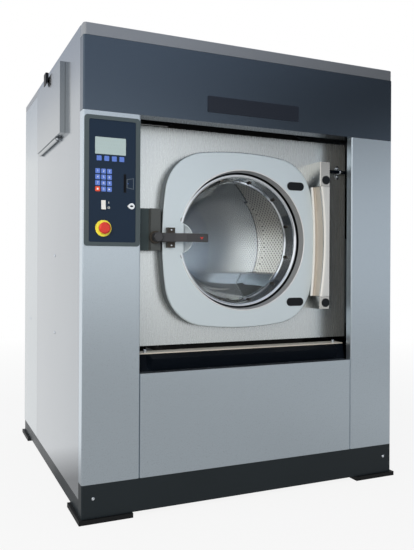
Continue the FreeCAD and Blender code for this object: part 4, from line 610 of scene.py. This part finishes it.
class WASHER_OT_finish_drive(bpy.types.Operator):
    """Finishes the drum, the tub and the drive behind them."""
    bl_idname = "washer.finish_drive"
    bl_label = "Finish Drive"

    def execute(self, context):
        tone = finishes()
        low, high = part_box("drum_shell")
        radius = (high[0] - low[0]) / 2
        seam_y = (high[1] - low[1]) / 2 - 9 * MM
        dress(punched_stainless("punched_drum_stainless", tone.drum, tone.drum_end_and_reflection, middle("drum_shell"),
                                radius, seam_y), "drum_shell")
        # The lifters' dark tone is painted shade inside the drum.
        dress(brushed_stainless("pressed_lifter_stainless", tone.lifter, "Y", rough=0.3, metallic=0.9),
              "drum_lifters")
        # The near-black coat also paints the shade in the gaps round the front plate.
        dress(powder_coat("tub_deadening_coat", tone.deadening, rough=0.7, specular=0.2), "outer_tub")
        dress(cast_iron("cast_grey_iron", tone.iron), "bearing_housing", "drum_spider", "drum_pulley")
        dress(powder_coat("motor_powder_coat", tone.motor, rough=0.42, specular=0.4), "drive_motor")
        dress(polished_steel("ground_shaft_steel", tone.polished, middle("motor_pulley"), rough=0.16),
              "motor_pulley", "shaft_bearings", "damper_rods")
        dress(moulded_rubber("belt_rubber", tone.rubber), "drive_belt")
        return {"FINISHED"}


def placed(name, data):
    """A new object in the scene."""
    thing = bpy.data.objects.new(name, data)
    bpy.context.scene.collection.objects.link(thing)
    return thing


def piece(name, mesh, material, body):
    """A new object of the machine that rides on a CAD body."""
    mesh.materials.append(material)
    thing = placed(name, mesh)
    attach(thing, body)
    return thing


def mesh_from(shape, name, sharp):
    """Turns finished bmesh work into a mesh with smooth faces and edges sharp above an angle in degrees."""
    bmesh.ops.recalc_face_normals(shape, faces=shape.faces)
    mesh = bpy.data.meshes.new(name)
    shape.to_mesh(mesh)
    shape.free()
    mesh.shade_smooth()
    mesh.set_sharp_from_angle(angle=math.radians(sharp))
    return mesh


def bridge(shape, rings):
    """Faces between following rings with the same number of vertices; a ring may also be one point."""
    sides = max(len(ring) for ring in rings)
    faces = []
    for lower, upper in zip(rings, rings[1:]):
        for step in range(sides):
            corners = [lower[step % len(lower)], upper[step % len(upper)],
                       upper[(step + 1) % len(upper)], lower[(step + 1) % len(lower)]]
            faces.append(shape.faces.new(list(dict.fromkeys(corners))))
    return faces


def circle(radius, segments):
    """Points of a circle round the origin."""
    angles = [2 * math.pi * step / segments for step in range(segments)]
    return [(radius * math.cos(angle), radius * math.sin(angle)) for angle in angles]


def turned(profile, segments, place, axis):
    """A mesh turned about an axis from (radius, height) pairs; the first and last may be on the axis."""
    shape = bmesh.new()
    rings = []
    for radius, height in profile:
        points = circle(radius, segments if radius else 1)
        rings.append([shape.verts.new((x, y, height)) for x, y in points])
    bridge(shape, rings)
    turn = UP.rotation_difference(Vector(axis)).to_matrix().to_4x4()
    bmesh.ops.transform(shape, matrix=Matrix.Translation(place) @ turn, verts=shape.verts)
    return mesh_from(shape, "turned", sharp=35)


def scaled(unit, pairs):
    """Pairs of numbers in a unit."""
    return [(unit * first, unit * second) for first, second in pairs]


def button_head(radius):
    """The profile of a button-head screw with a socket."""
    return scaled(radius, ((1, 0), (1, 0.18), (0.86, 0.42), (0.5, 0.58), (0.42, 0.56), (0.4, 0.22),
                           (0, 0.22)))


def cap_head(radius):
    """The profile of a socket cap screw on its washer."""
    return scaled(radius, ((1.4, 0), (1.4, 0.2), (1, 0.25), (1, 1.4), (0.85, 1.6), (0.55, 1.6), (0.5, 0.9),
                           (0, 0.9)))


def sign(name, material, body, place, unit, outline, inner=()):
    """A thin print that faces the front, from (x, z) points in a unit; inner points leave it hollow."""
    ink_depth = 0.25 * MM
    shape = bmesh.new()
    outer, hollow = ([shape.verts.new((place[0] + x, place[1], place[2] + z)) for x, z in scaled(unit, line)]
                     for line in (outline, inner))
    if hollow:
        bridge(shape, [outer, hollow])
    else:
        shape.faces.new(outer)
    grown = bmesh.ops.extrude_face_region(shape, geom=shape.faces[:])
    front = [item for item in grown["geom"] if isinstance(item, bmesh.types.BMVert)]
    bmesh.ops.translate(shape, vec=(0, -ink_depth, 0), verts=front)
    piece(name, mesh_from(shape, "printed", sharp=30), material, body)


class WASHER_OT_casing_screws(bpy.types.Operator):
    """Adds the screws of the plinth, sides, sill, rear sheet, lever keeper and hinge."""
    bl_idname = "washer.casing_screws"
    bl_label = "Add Casing Screws"

    def execute(self, context):
        steel = polished_steel("screw_steel", finishes().polished, centre=(0, 0, 0), rough=0.14)
        segments = 20
        for number, (name, place, outward, radius, body) in enumerate(self.spots()):
            profile = cap_head(radius) if name == "sill" else button_head(radius)
            mesh = turned(profile, segments, Vector(place), outward)
            piece("%s_screw_%02d" % (name, number), mesh, steel, body)
        return {"FINISHED"}

    def spots(self):
        """The name, place, direction, head radius and body of each screw."""
        big, small = sizes().screw_head, sizes().small_screw
        low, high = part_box("plinth_panel")
        inset, drop = 40 * MM, 47 * MM
        for x in (low[0] + inset, high[0] - inset):
            yield "plinth", (x, low[1], high[2] - drop), FRONT, big, "cabinet"
        low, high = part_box("left_side_panel")
        for x, outward in ((low[0], LEFT), (-low[0], -LEFT)):
            for from_rear_edge, z in ((-426 * MM, 0.914), (-429 * MM, 0.601), (197 * MM, 0.61)):
                yield "side", (x, high[1] + from_rear_edge, z), outward, big, "cabinet"
        low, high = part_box("sill_strip")
        left_inset, right_inset, depth = 42 * MM, 33 * MM, 22 * MM
        for x in (low[0] + left_inset, high[0] - right_inset):
            yield "sill", (x, low[1] + depth, high[2]), UP, big, "cabinet"
        low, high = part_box("rear_panel")
        inset, margin, count = 12 * MM, 60 * MM, 5
        pitch = (high[2] - low[2] - 2 * margin) / (count - 1)
        for x in (low[0] + inset, high[0] - inset):
            for step in range(count):
                yield "rear", (x, high[1], low[2] + margin + step * pitch), REAR, big, "cabinet"
        low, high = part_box("lever_bracket")
        inset, depth, margin = 14.5 * MM, 11 * MM, 9 * MM
        for z in (low[2] + margin, high[2] - margin):
            yield "keeper", (high[0] - inset, low[1] + depth, z), FRONT, small, "door"
        low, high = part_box("hinge_boxes")
        drop, inset = 59 * MM, 26 * MM
        y = (low[1] + high[1]) / 2
        yield "hinge_rivet", (low[0], y, high[2] - drop), LEFT, small, "tub"
        yield "hinge_bolt", (low[0] + inset, y, low[2]), -UP, big, "tub"


class WASHER_OT_door_bowl(bpy.types.Operator):
    """Presses the door's glass bowl with one even thickness, so that the drum shows through it unbent."""
    bl_idname = "washer.door_bowl"
    bl_label = "Add Door Bowl"

    def execute(self, context):
        glass = pressed_glass("pressed_bowl_glass", finishes().glass)
        low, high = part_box("door_glass")
        edge = (high[0] - low[0]) / 2
        lip = edge - 15 * MM
        thick = 8 * MM
        deep = high[1] - low[1] - thick
        segments = 144
        profile = self.side(lip, deep, 0) + [(edge, 0), (edge, thick)] + self.side(lip, deep, thick)[::-1]
        mesh = turned(profile, segments, Vector((0, low[1], (low[2] + high[2]) / 2)), REAR)
        bowl = piece("pressed_door_bowl", mesh, glass, "door")
        bowl.visible_shadow = False
        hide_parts("door_glass")
        return {"FINISHED"}

    def side(self, lip, deep, offset):
        """One side of the glass as (radius, height) pairs from its middle to its lip."""
        foot = 170 * MM
        turn = 30 * MM
        arc_steps = 12
        lean = math.radians(19.1)
        points = [(foot * share, deep + offset) for share in (0, 0.35, 0.65, 0.85, 0.94, 0.985, 1)]
        for step in range(1, arc_steps + 1):
            angle = math.pi / 2 - (math.pi / 2 - lean) * step / arc_steps
            points.append((foot + (turn + offset) * math.cos(angle),
                           deep - turn + (turn + offset) * math.sin(angle)))
        start = Vector(points[-1])
        end = Vector((lip + offset * (math.cos(lean) - math.tan(lean) * (1 - math.sin(lean))), offset))
        for share in (0.02, 0.1, 0.3, 0.6, 0.9, 0.98, 1):
            points.append(tuple(start.lerp(end, share)))
        return points


class WASHER_OT_hinge_post(bpy.types.Operator):
    """Folds the door's hinge post from sheet, waisted at the left, with rounded edges and two pins."""
    bl_idname = "washer.hinge_post"
    bl_label = "Add Hinge Post"

    def execute(self, context):
        tone = finishes()
        steel = brushed_stainless("folded_post_stainless", tone.hinge, "Z", rough=0.24, metallic=1.0)
        # The wall's steel is a darker, warmer copy of the post's, rougher and less metallic: painted shade
        # and a painted warm reflection on the side that faces left.
        dull = brushed_stainless("dull_post_stainless", tone.dull, "Z", rough=0.5, metallic=0.5)
        low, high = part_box("hinge_post")
        pin_reach = 30 * MM
        bottom = low[2] + pin_reach
        top = high[2] - pin_reach
        rows = 28
        shape = bmesh.new()
        rings = []
        for step in range(rows + 1):
            along = 2 * step / rows - 1
            z = bottom + (top - bottom) * step / rows
            section = self.section(low, high, 1 - along * along)
            rings.append([shape.verts.new((x, y, z)) for x, y in section])
        # The three wall sides take the second material, so the side that faces left carries the painted
        # shade.
        wall_sides = (6, 7, 8)
        for number, face in enumerate(bridge(shape, rings)):
            face.material_index = 1 if number % len(rings[0]) in wall_sides else 0
        shape.faces.new(rings[0])
        shape.faces.new(rings[-1])
        post = piece("folded_hinge_post", mesh_from(shape, "folded_hinge_post", sharp=40), steel, "door")
        post.data.materials.append(dull)
        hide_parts("hinge_post")
        pin_x, pin_y = high[0] - 25.5 * MM, low[1] + 20 * MM
        self.pins(steel, pin_x, pin_y, bottom, top, pin_reach)
        return {"FINISHED"}

    def section(self, low, high, waist):
        """The post's section as (x, y) points; waist is 1 at mid-height and 0 at the ends."""
        face = low[1] + 51 * MM
        heel = low[0] + 21.5 * MM
        flange = low[0] + 11.4 * MM * waist
        wall = low[0] + 16 * MM + 14 * MM * waist
        edge = low[0] + 16 * MM + 18 * MM * waist
        turn, fold, corner = 8 * MM, 1.5 * MM, 3 * MM
        points = self.quarter(flange + turn, face, turn, start=180, steps=6)
        points += [(wall - fold, face - turn), (wall, face - turn - fold)]
        points += self.quarter(edge + turn, low[1] + turn, turn, start=180, steps=6)
        points += self.quarter(high[0] - corner, low[1] + corner, corner, start=270, steps=3)
        return points + [(high[0], high[1]), (heel, high[1]), (heel, face)]

    def quarter(self, x, y, radius, start, steps):
        """Points of a quarter turn about a corner's centre, from a start angle in degrees."""
        angles = [math.radians(start + 90 * step / steps) for step in range(steps + 1)]
        return [(x + radius * math.cos(angle), y + radius * math.sin(angle)) for angle in angles]

    def pins(self, steel, x, y, bottom, top, reach):
        """The two pins of the hinge, at the post's ends."""
        radius, chamfer, clearance = 12 * MM, 1.5 * MM, 1.5 * MM
        end = reach - clearance
        segments = 32
        profile = [(0, 0), (radius, 0), (radius, end - chamfer), (radius - chamfer, end), (0, end)]
        for name, z, axis in (("low", bottom, -UP), ("high", top, UP)):
            pin = turned(profile, segments, Vector((x, y, z)), axis)
            piece("hinge_pin_" + name, pin, steel, "door")


class WASHER_OT_port_rim(bpy.types.Operator):
    """Rolls the edge of the door plate round the port, from above the tongue to below it."""
    bl_idname = "washer.port_rim"
    bl_label = "Add Port Rim"

    def execute(self, context):
        steel = brushed_stainless("rolled_rim_stainless", finishes().polished, "Y", rough=0.3, metallic=0.25)
        centre = middle("door_ring")
        bead_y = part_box("door_plate")[0][1] + 1 * MM
        radius, bead = 273 * MM, 2.6 * MM
        reach = math.radians(161)
        rows, sides = 180, 12
        shape = bmesh.new()
        rings = []
        for step in range(rows + 1):
            angle = reach * (2 * step / rows - 1)
            rings.append([
                shape.verts.new((centre.x + (radius + out) * math.cos(angle), bead_y + back,
                                 centre.z + (radius + out) * math.sin(angle)))
                for out, back in circle(bead, sides)])
        bridge(shape, rings)
        shape.faces.new(rings[0])
        shape.faces.new(rings[-1])
        piece("port_rim", mesh_from(shape, "port_rim", sharp=40), steel, "door")
        return {"FINISHED"}


class WASHER_OT_panel_marks(bpy.types.Operator):
    """Prints the keys' digits, the switches' signs and the card sign, sets a lens and prints the key slot as
    painted shade.
    """
    bl_idname = "washer.panel_marks"
    bl_label = "Add Panel Marks"

    def execute(self, context):
        ink = moulded_plastic("printed_ink", finishes().mark, rough=0.5, specular=0.3)
        film_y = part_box("control_overlay")[0][1]
        self.key_marks(ink)
        self.rocker_signs(ink, film_y)
        self.card_sign(film_y)
        self.key_switch_marks(ink, film_y)
        return {"FINISHED"}

    def key_marks(self, ink):
        """Digits on nine keys and the nought, a square on the red key and a triangle on the last."""
        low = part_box("keypad_keys")[0]
        pitch, half_key, half_sign = 20.5 * MM, 8.25 * MM, 3.2 * MM
        x, y, z = low[0] + half_key, low[1], low[2] + half_key
        for row, digits in enumerate(("123", "456", "789", " 0")):
            for column, text in enumerate(digits):
                if text != " ":
                    self.digit(text, (x + column * pitch, y, z + (3 - row) * pitch), ink)
        square = ((-1, -1), (1, -1), (1, 1), (-1, 1))
        sign("key_stop_sign", ink, "cabinet", (x, y, z), half_sign, square)
        arrow = ((-1, -1), (1, 0), (-1, 1))
        sign("key_start_sign", ink, "cabinet", (x + 2 * pitch, y, z), half_sign, arrow)

    def digit(self, text, place, ink):
        """One printed digit in the middle of its key."""
        half_depth = 0.1 * MM
        letter = bpy.data.curves.new("digit_" + text, "FONT")
        letter.body = text
        letter.size = sizes().digit
        letter.extrude = half_depth
        letter.align_x = letter.align_y = "CENTER"
        letter.materials.append(ink)
        thing = placed("key_digit_" + text, letter)
        upright = Matrix.Rotation(math.pi / 2, 4, "X")
        thing.matrix_world = Matrix.Translation(Vector(place) + half_depth * FRONT) @ upright
        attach(thing, "cabinet")

    def rocker_signs(self, ink, y):
        """A stroke and a ring printed beside the rocker."""
        rocker = middle("power_rocker")
        x, ring_drop = rocker.x + 19 * MM, 9 * MM
        stroke = ((-0.8, 12), (0.8, 12), (0.8, 5), (-0.8, 5))
        sign("rocker_on_sign", ink, "cabinet", (x, y, rocker.z), MM, stroke)
        profile = scaled(MM, ((3.8, 0), (3.8, 0.2), (2.2, 0.2), (2.2, 0)))
        ring = turned(profile, segments=20, place=Vector((x, y, rocker.z - ring_drop)), axis=FRONT)
        piece("rocker_off_sign", ring, ink, "cabinet")

    def card_sign(self, y):
        """The outline of a card held askew, printed beside the reader's slot, and a lens in it."""
        tone = finishes()
        ink = moulded_plastic("printed_grey_ink", tone.faint_mark, rough=0.5, specular=0.3)
        plastic = moulded_plastic("lens_plastic", tone.key, rough=0.2, specular=0.5)
        reader = middle("card_reader")
        left, lens_inset = reader.x + 7 * MM, 4.5 * MM
        sign("card_sign", ink, "cabinet", (left, y, reader.z), MM,
             outline=((0, -15), (24.5, -19.5), (24.5, 19.5), (0, 15)),
             inner=((1.6, -13.6), (22.9, -17.6), (22.9, 17.6), (1.6, 13.6)))
        profile = scaled(MM, ((1.5, 0), (1.3, 0.5), (0.7, 0.8), (0, 0.9)))
        lens = turned(profile, segments=16, place=Vector((left + lens_inset, y, reader.z)), axis=FRONT)
        piece("card_lens", lens, plastic, "cabinet")

    def key_switch_marks(self, ink, film_y):
        """A pointer printed beside the key switch, and the slot in its barrel, printed dark as painted shade.
        """
        low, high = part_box("key_switch")
        barrel = middle("key_switch")
        reach = (high[0] - low[0]) / 2
        dark = moulded_plastic("slot_plastic", finishes().trim, rough=0.6, specular=0.2)
        pointer = ((-0.7, 0.75), (-1.45, 0), (-0.7, -0.75))
        sign("key_switch_pointer", ink, "cabinet", (barrel.x, film_y, barrel.z), reach, pointer)
        slot = ((-0.5, 0.22), (-0.16, 0.22), (0, 0.42), (0.16, 0.22), (0.5, 0.22),
                (0.5, -0.22), (0.16, -0.22), (0, -0.42), (-0.16, -0.22), (-0.5, -0.22))
        sign("key_switch_slot", dark, "key_switch", (barrel.x, low[1], barrel.z), reach, slot)


class WASHER_OT_lever_mark(bpy.types.Operator):
    """Adds the red turning mark near the lever's tip."""
    bl_idname = "washer.lever_mark"
    bl_label = "Add Lever Mark"

    def execute(self, context):
        red = moulded_plastic("lever_mark_paint", finishes().stop_head, rough=0.4, specular=0.4)
        low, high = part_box("door_lever")
        from_tip, face_depth = 26 * MM, 6 * MM
        place = (high[0] - from_tip, low[1] + face_depth, (low[2] + high[2]) / 2)
        chevron = ((-7, 3), (0, -6), (7, 3), (3.5, 3), (0, 0), (-3.5, 3))
        sign("lever_turn_mark", red, "door_lever", place, MM, chevron)
        return {"FINISHED"}


class WASHER_OT_lead_clip(bpy.types.Operator):
    """Bends a strap over the lock's lead and screws it to the plate."""
    bl_idname = "washer.lead_clip"
    bl_label = "Add Lead Clip"

    def execute(self, context):
        low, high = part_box("lock_lead")
        plate_low, plate_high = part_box("tub_front_plate")
        steel = polished_steel("clip_steel", finishes().polished, centre=(0, 0, 0), rough=0.14)
        play, thick, half_width, reach = 1.2 * MM, 1.4 * MM, 7 * MM, 20 * MM
        lead = (high[2] - low[2]) / 2
        radius = lead + play
        centre_y, centre_z = low[1] + lead, (low[2] + high[2]) / 2
        foot_y, head_y = plate_low[1] - 1 * MM, plate_low[1] - 1.7 * MM
        x = plate_high[0] - 43 * MM
        head = 1.2 * sizes().screw_head
        bend_steps = 8
        line = [(foot_y, centre_z + radius + reach), (foot_y, centre_z + radius)]
        for step in range(bend_steps + 1):
            angle = math.pi * step / bend_steps
            line.append((centre_y - radius * math.sin(angle), centre_z + radius * math.cos(angle)))
        line += [(foot_y, centre_z - radius), (foot_y, centre_z - radius - reach)]
        shape = bmesh.new()
        left, right = ([shape.verts.new((x + side, y, z)) for y, z in line]
                       for side in (-half_width, half_width))
        for step in range(len(line) - 1):
            shape.faces.new((left[step], right[step], right[step + 1], left[step + 1]))
        strap = piece("lead_clip", mesh_from(shape, "lead_clip", sharp=40), steel, "tub")
        sheet = strap.modifiers.new("sheet", "SOLIDIFY")
        sheet.thickness = thick
        sheet.offset = 0
        for name, end in (("low", -1), ("high", 1)):
            place = Vector((x, head_y, centre_z + end * (radius + reach / 2)))
            screw = turned(button_head(head), segments=20, place=place, axis=FRONT)
            piece("lead_clip_screw_" + name, screw, steel, "tub")
        return {"FINISHED"}


class WASHER_OT_hose_fittings(bpy.types.Operator):
    """Cuts threads round the water inlets and sets a bead round the drain's end."""
    bl_idname = "washer.hose_fittings"
    bl_label = "Add Hose Fittings"

    def execute(self, context):
        brass = turned_brass("thread_brass", finishes().brass)
        plastic = moulded_plastic("drain_bead_plastic", finishes().tray, rough=0.45, specular=0.4)
        for mount in frame["record"]["mounts"]:
            if mount["kind"] != "pin":
                continue
            radius = mount["dims"]["r_mm"] * MM
            run = mount["dims"]["length_mm"] * MM
            base = Vector(mount["pos_m"])
            base.y = base.y - run / 2
            if mount["name"] == "drain":
                bead = [(radius + out, run - back) for out, back in
                        scaled(MM, ((0, 10), (2, 7.5), (2, 5), (0, 2.5)))]
                piece("drain_bead", turned(bead, segments=48, place=base, axis=REAR), plastic, "cabinet")
            else:
                thread = turned(self.thread(radius, run), segments=28, place=base, axis=REAR)
                piece(mount["name"] + "_thread", thread, brass, "cabinet")
        return {"FINISHED"}

    def thread(self, radius, run):
        """The saw-tooth profile of a thread as (radius, height) pairs."""
        pitch, depth, margin = 1.8 * MM, 0.9 * MM, 2 * MM
        count = int((run - 2 * margin) / pitch)
        profile = []
        for step in range(count):
            start = margin + step * pitch
            profile += [(radius, start), (radius + depth, start + pitch / 2)]
        return profile + [(radius, margin + count * pitch)]


@surface
def floor_paint(node, spot):
    """Pale floor paint that looks white to the camera, keeps a soft shadow, and is greyer in mirrors."""
    # Rolled paint has a faint mottle, about 20 mm wide.
    # In mirrors the floor is a glow of painted light: it dims away from the machine, and lightens far away,
    # to the right and to the rear.
    grain = node("TexNoise", {"Vector": spot, "Scale": 1 / (20 * MM)})
    tone = node("Mix", {0: grain, 6: full([0.52] * 3), 7: full([0.58] * 3)}, **RGBA)
    paint = node("BsdfPrincipled", {"Base Color": tone, "Roughness": 0.8})
    path = node("LightPath").outputs
    mirrored = node("Math", path["Is Glossy Ray"], path["Is Transmission Ray"], operation="MAXIMUM")
    parts = node("SeparateXYZ", spot).outputs
    distance = node("VectorMath", spot, operation="LENGTH")
    near = node("MapRange", {"Value": distance, "From Min": 2.5, "From Max": 5,
                             "To Min": 0.41, "To Max": 0.24})
    far = node("MapRange", {"Value": distance, "From Min": 8, "From Max": 18, "To Max": 0.65})
    rightward = node("MapRange", {"Value": parts["X"], "From Min": 0.5, "From Max": 1.5, "To Max": 0.12})
    rearward = node("MapRange", {"Value": parts["Y"], "From Min": -0.5, "From Max": 0.3})
    sweep = node("Math", near, far, operation="ADD")
    sloped = node("Math", sweep, rightward, operation="ADD")
    lit = node("Math", sloped, rearward, operation="MAXIMUM")
    level = node("Mix", {0: mirrored, 2: 1.0, 3: lit})
    white = node("Emission", {"Color": WHITE, "Strength": level})
    fade = node("MapRange", {"Value": distance, "From Min": 1.5, "From Max": 5, "To Min": 0.88, "To Max": 1})
    seen = node("Math", path["Is Camera Ray"], fade, mirrored, operation="MULTIPLY_ADD")
    return node("MixShader", seen, paint, white)


@surface
def mirrored_card(node, spot, rgb, axis, start, end, dark):
    """Glowing grey card, painted darker along one axis."""
    # The painted fall-off stands in for light falling off across the card, so polished steel mirrors a soft
    # gradient.
    parts = node("SeparateXYZ", spot)
    fade = node("MapRange", {"Value": parts.outputs[axis], "From Min": start, "From Max": end})
    tone = node("Mix", {0: fade, 6: full(rgb), 7: shade(rgb, dark)}, **RGBA)
    return node("Emission", {"Color": tone, "Strength": 1})


class WASHER_OT_stage(bpy.types.Operator):
    """Sets the camera, the soft lights, the pale floor, two mirrored cards and the white surround."""
    bl_idname = "washer.stage"
    bl_label = "Set Stage"

    def execute(self, context):
        scene = context.scene
        stage = scene.washer_stage
        scene.view_settings.view_transform = "Standard"
        self.camera(scene, stage)
        self.surround(scene, stage)
        reach, card_top = 30, 3.27
        self.sheet("floor", [(-reach, -reach, 0), (reach, -reach, 0), (reach, reach, 0), (-reach, reach, 0)],
                   floor_paint("pale_floor_paint"))
        # The overhead card is painted darker to the right, as painted shade in a room lit from the left.
        ceiling = mirrored_card("ceiling_card", stage.ceiling, "X", start=1, end=4.5, dark=0.08)
        over = [(-2, -6.5, card_top), (7, -11, card_top), (7, 12, card_top), (-2, 12, card_top)]
        right = mirrored_card("right_card", stage.right_card, "Z", start=2.2, end=3.1, dark=0.1)
        beside = [(5, -10, 0), (5, -1.5, 0), (5, -1.5, card_top), (5, -10, card_top)]
        for name, corners, material in (("ceiling_card", over, ceiling), ("right_card", beside, right)):
            card = self.sheet(name, corners, material)
            # Only mirrors see the cards, which cast neither light nor shadow.
            card.visible_camera = False
            card.visible_diffuse = False
            card.visible_transmission = False
            card.visible_shadow = False
        key = self.lamp("key_light", stage.key_light, size=2.0, place=(-2.2, -3.8, 1.7))
        key.color = stage.key_tint
        self.lamp("side_light", stage.side_light, size=2.4, place=(-4.4, -0.6, 2.2))
        self.lamp("top_light", stage.top_light, size=3.0, place=(0.4, 0.2, 4.6))
        return {"FINISHED"}

    def camera(self, scene, stage):
        """The camera of the photo."""
        lens = bpy.data.cameras.new("photo_camera")
        lens.lens = stage.lens
        lens.shift_y = stage.shift
        camera = placed("photo_camera", lens)
        turn = Matrix.Rotation(-stage.camera_turn, 4, "Z") @ Matrix.Rotation(math.pi / 2, 4, "X")
        roll = Matrix.Rotation(stage.camera_roll, 4, "Z")
        camera.matrix_world = Matrix.Translation(stage.camera_place) @ turn @ roll
        scene.camera = camera

    def sheet(self, name, corners, material):
        """A flat stage piece between four corners."""
        mesh = bpy.data.meshes.new(name)
        mesh.from_pydata(corners, [], [(0, 1, 2, 3)])
        mesh.materials.append(material)
        thing = placed(name, mesh)
        return thing

    def surround(self, scene, stage):
        """A white world to look at, which lights the machine at a lower level."""
        scene.world = bpy.data.worlds.new("white_surround")
        scene.world.use_nodes = True
        scene.world.node_tree.nodes.clear()
        node = functools.partial(add, scene.world.node_tree)
        path = node("LightPath").outputs
        direct = node("Math", path["Is Camera Ray"], path["Is Glossy Ray"], operation="MAXIMUM")
        seen = node("Math", direct, path["Is Transmission Ray"], operation="MAXIMUM")
        dim = node("Background", {"Color": full(stage.shade_tint), "Strength": stage.ambient})
        white = node("Background", {"Color": WHITE, "Strength": 1})
        mix = node("MixShader", seen, dim, white)
        node("OutputWorld", {"Surface": mix})

    def lamp(self, name, power, size, place):
        """A large square lamp aimed at the machine; mirrors see the white surround instead of it."""
        machine_middle = Vector((0, 0, 0.8))
        light = bpy.data.lights.new(name, "AREA")
        light.energy = power
        light.size = size
        thing = placed(name, light)
        thing.rotation_euler = (machine_middle - Vector(place)).to_track_quat("-Z", "Y").to_euler()
        thing.location = place
        thing.visible_camera = False
        thing.visible_glossy = False
        return light


STEPS = (
    WASHER_OT_finish_casing, WASHER_OT_finish_controls, WASHER_OT_finish_door, WASHER_OT_finish_drive,
    WASHER_OT_casing_screws, WASHER_OT_door_bowl, WASHER_OT_hinge_post, WASHER_OT_port_rim,
    WASHER_OT_panel_marks, WASHER_OT_lever_mark, WASHER_OT_lead_clip, WASHER_OT_hose_fittings,
    WASHER_OT_stage,
)


class WASHER_PT_dressing(bpy.types.Panel):
    """Lists the dressing steps."""
    bl_idname = "WASHER_PT_dressing"
    bl_label = "Washer-Extractor"
    bl_space_type = "VIEW_3D"
    bl_region_type = "UI"
    bl_category = "Washer"

    def draw(self, context):
        for step in STEPS:
            self.layout.operator(step.bl_idname)


GROUPS = (WasherFinishes, WasherSizes, WasherStage)


def register():
    for group in GROUPS + STEPS + (WASHER_PT_dressing,):
        bpy.utils.register_class(group)
    bpy.types.Scene.washer_finishes = PointerProperty(type=WasherFinishes)
    bpy.types.Scene.washer_sizes = PointerProperty(type=WasherSizes)
    bpy.types.Scene.washer_stage = PointerProperty(type=WasherStage)


def unregister():
    del bpy.types.Scene.washer_finishes
    del bpy.types.Scene.washer_sizes
    del bpy.types.Scene.washer_stage
    for group in reversed(GROUPS + STEPS + (WASHER_PT_dressing,)):
        bpy.utils.unregister_class(group)


def main():
    register()
    for step in STEPS:
        family, name = step.bl_idname.split(".")
        getattr(getattr(bpy.ops, family), name)()


if __name__ == "__main__":
    main()
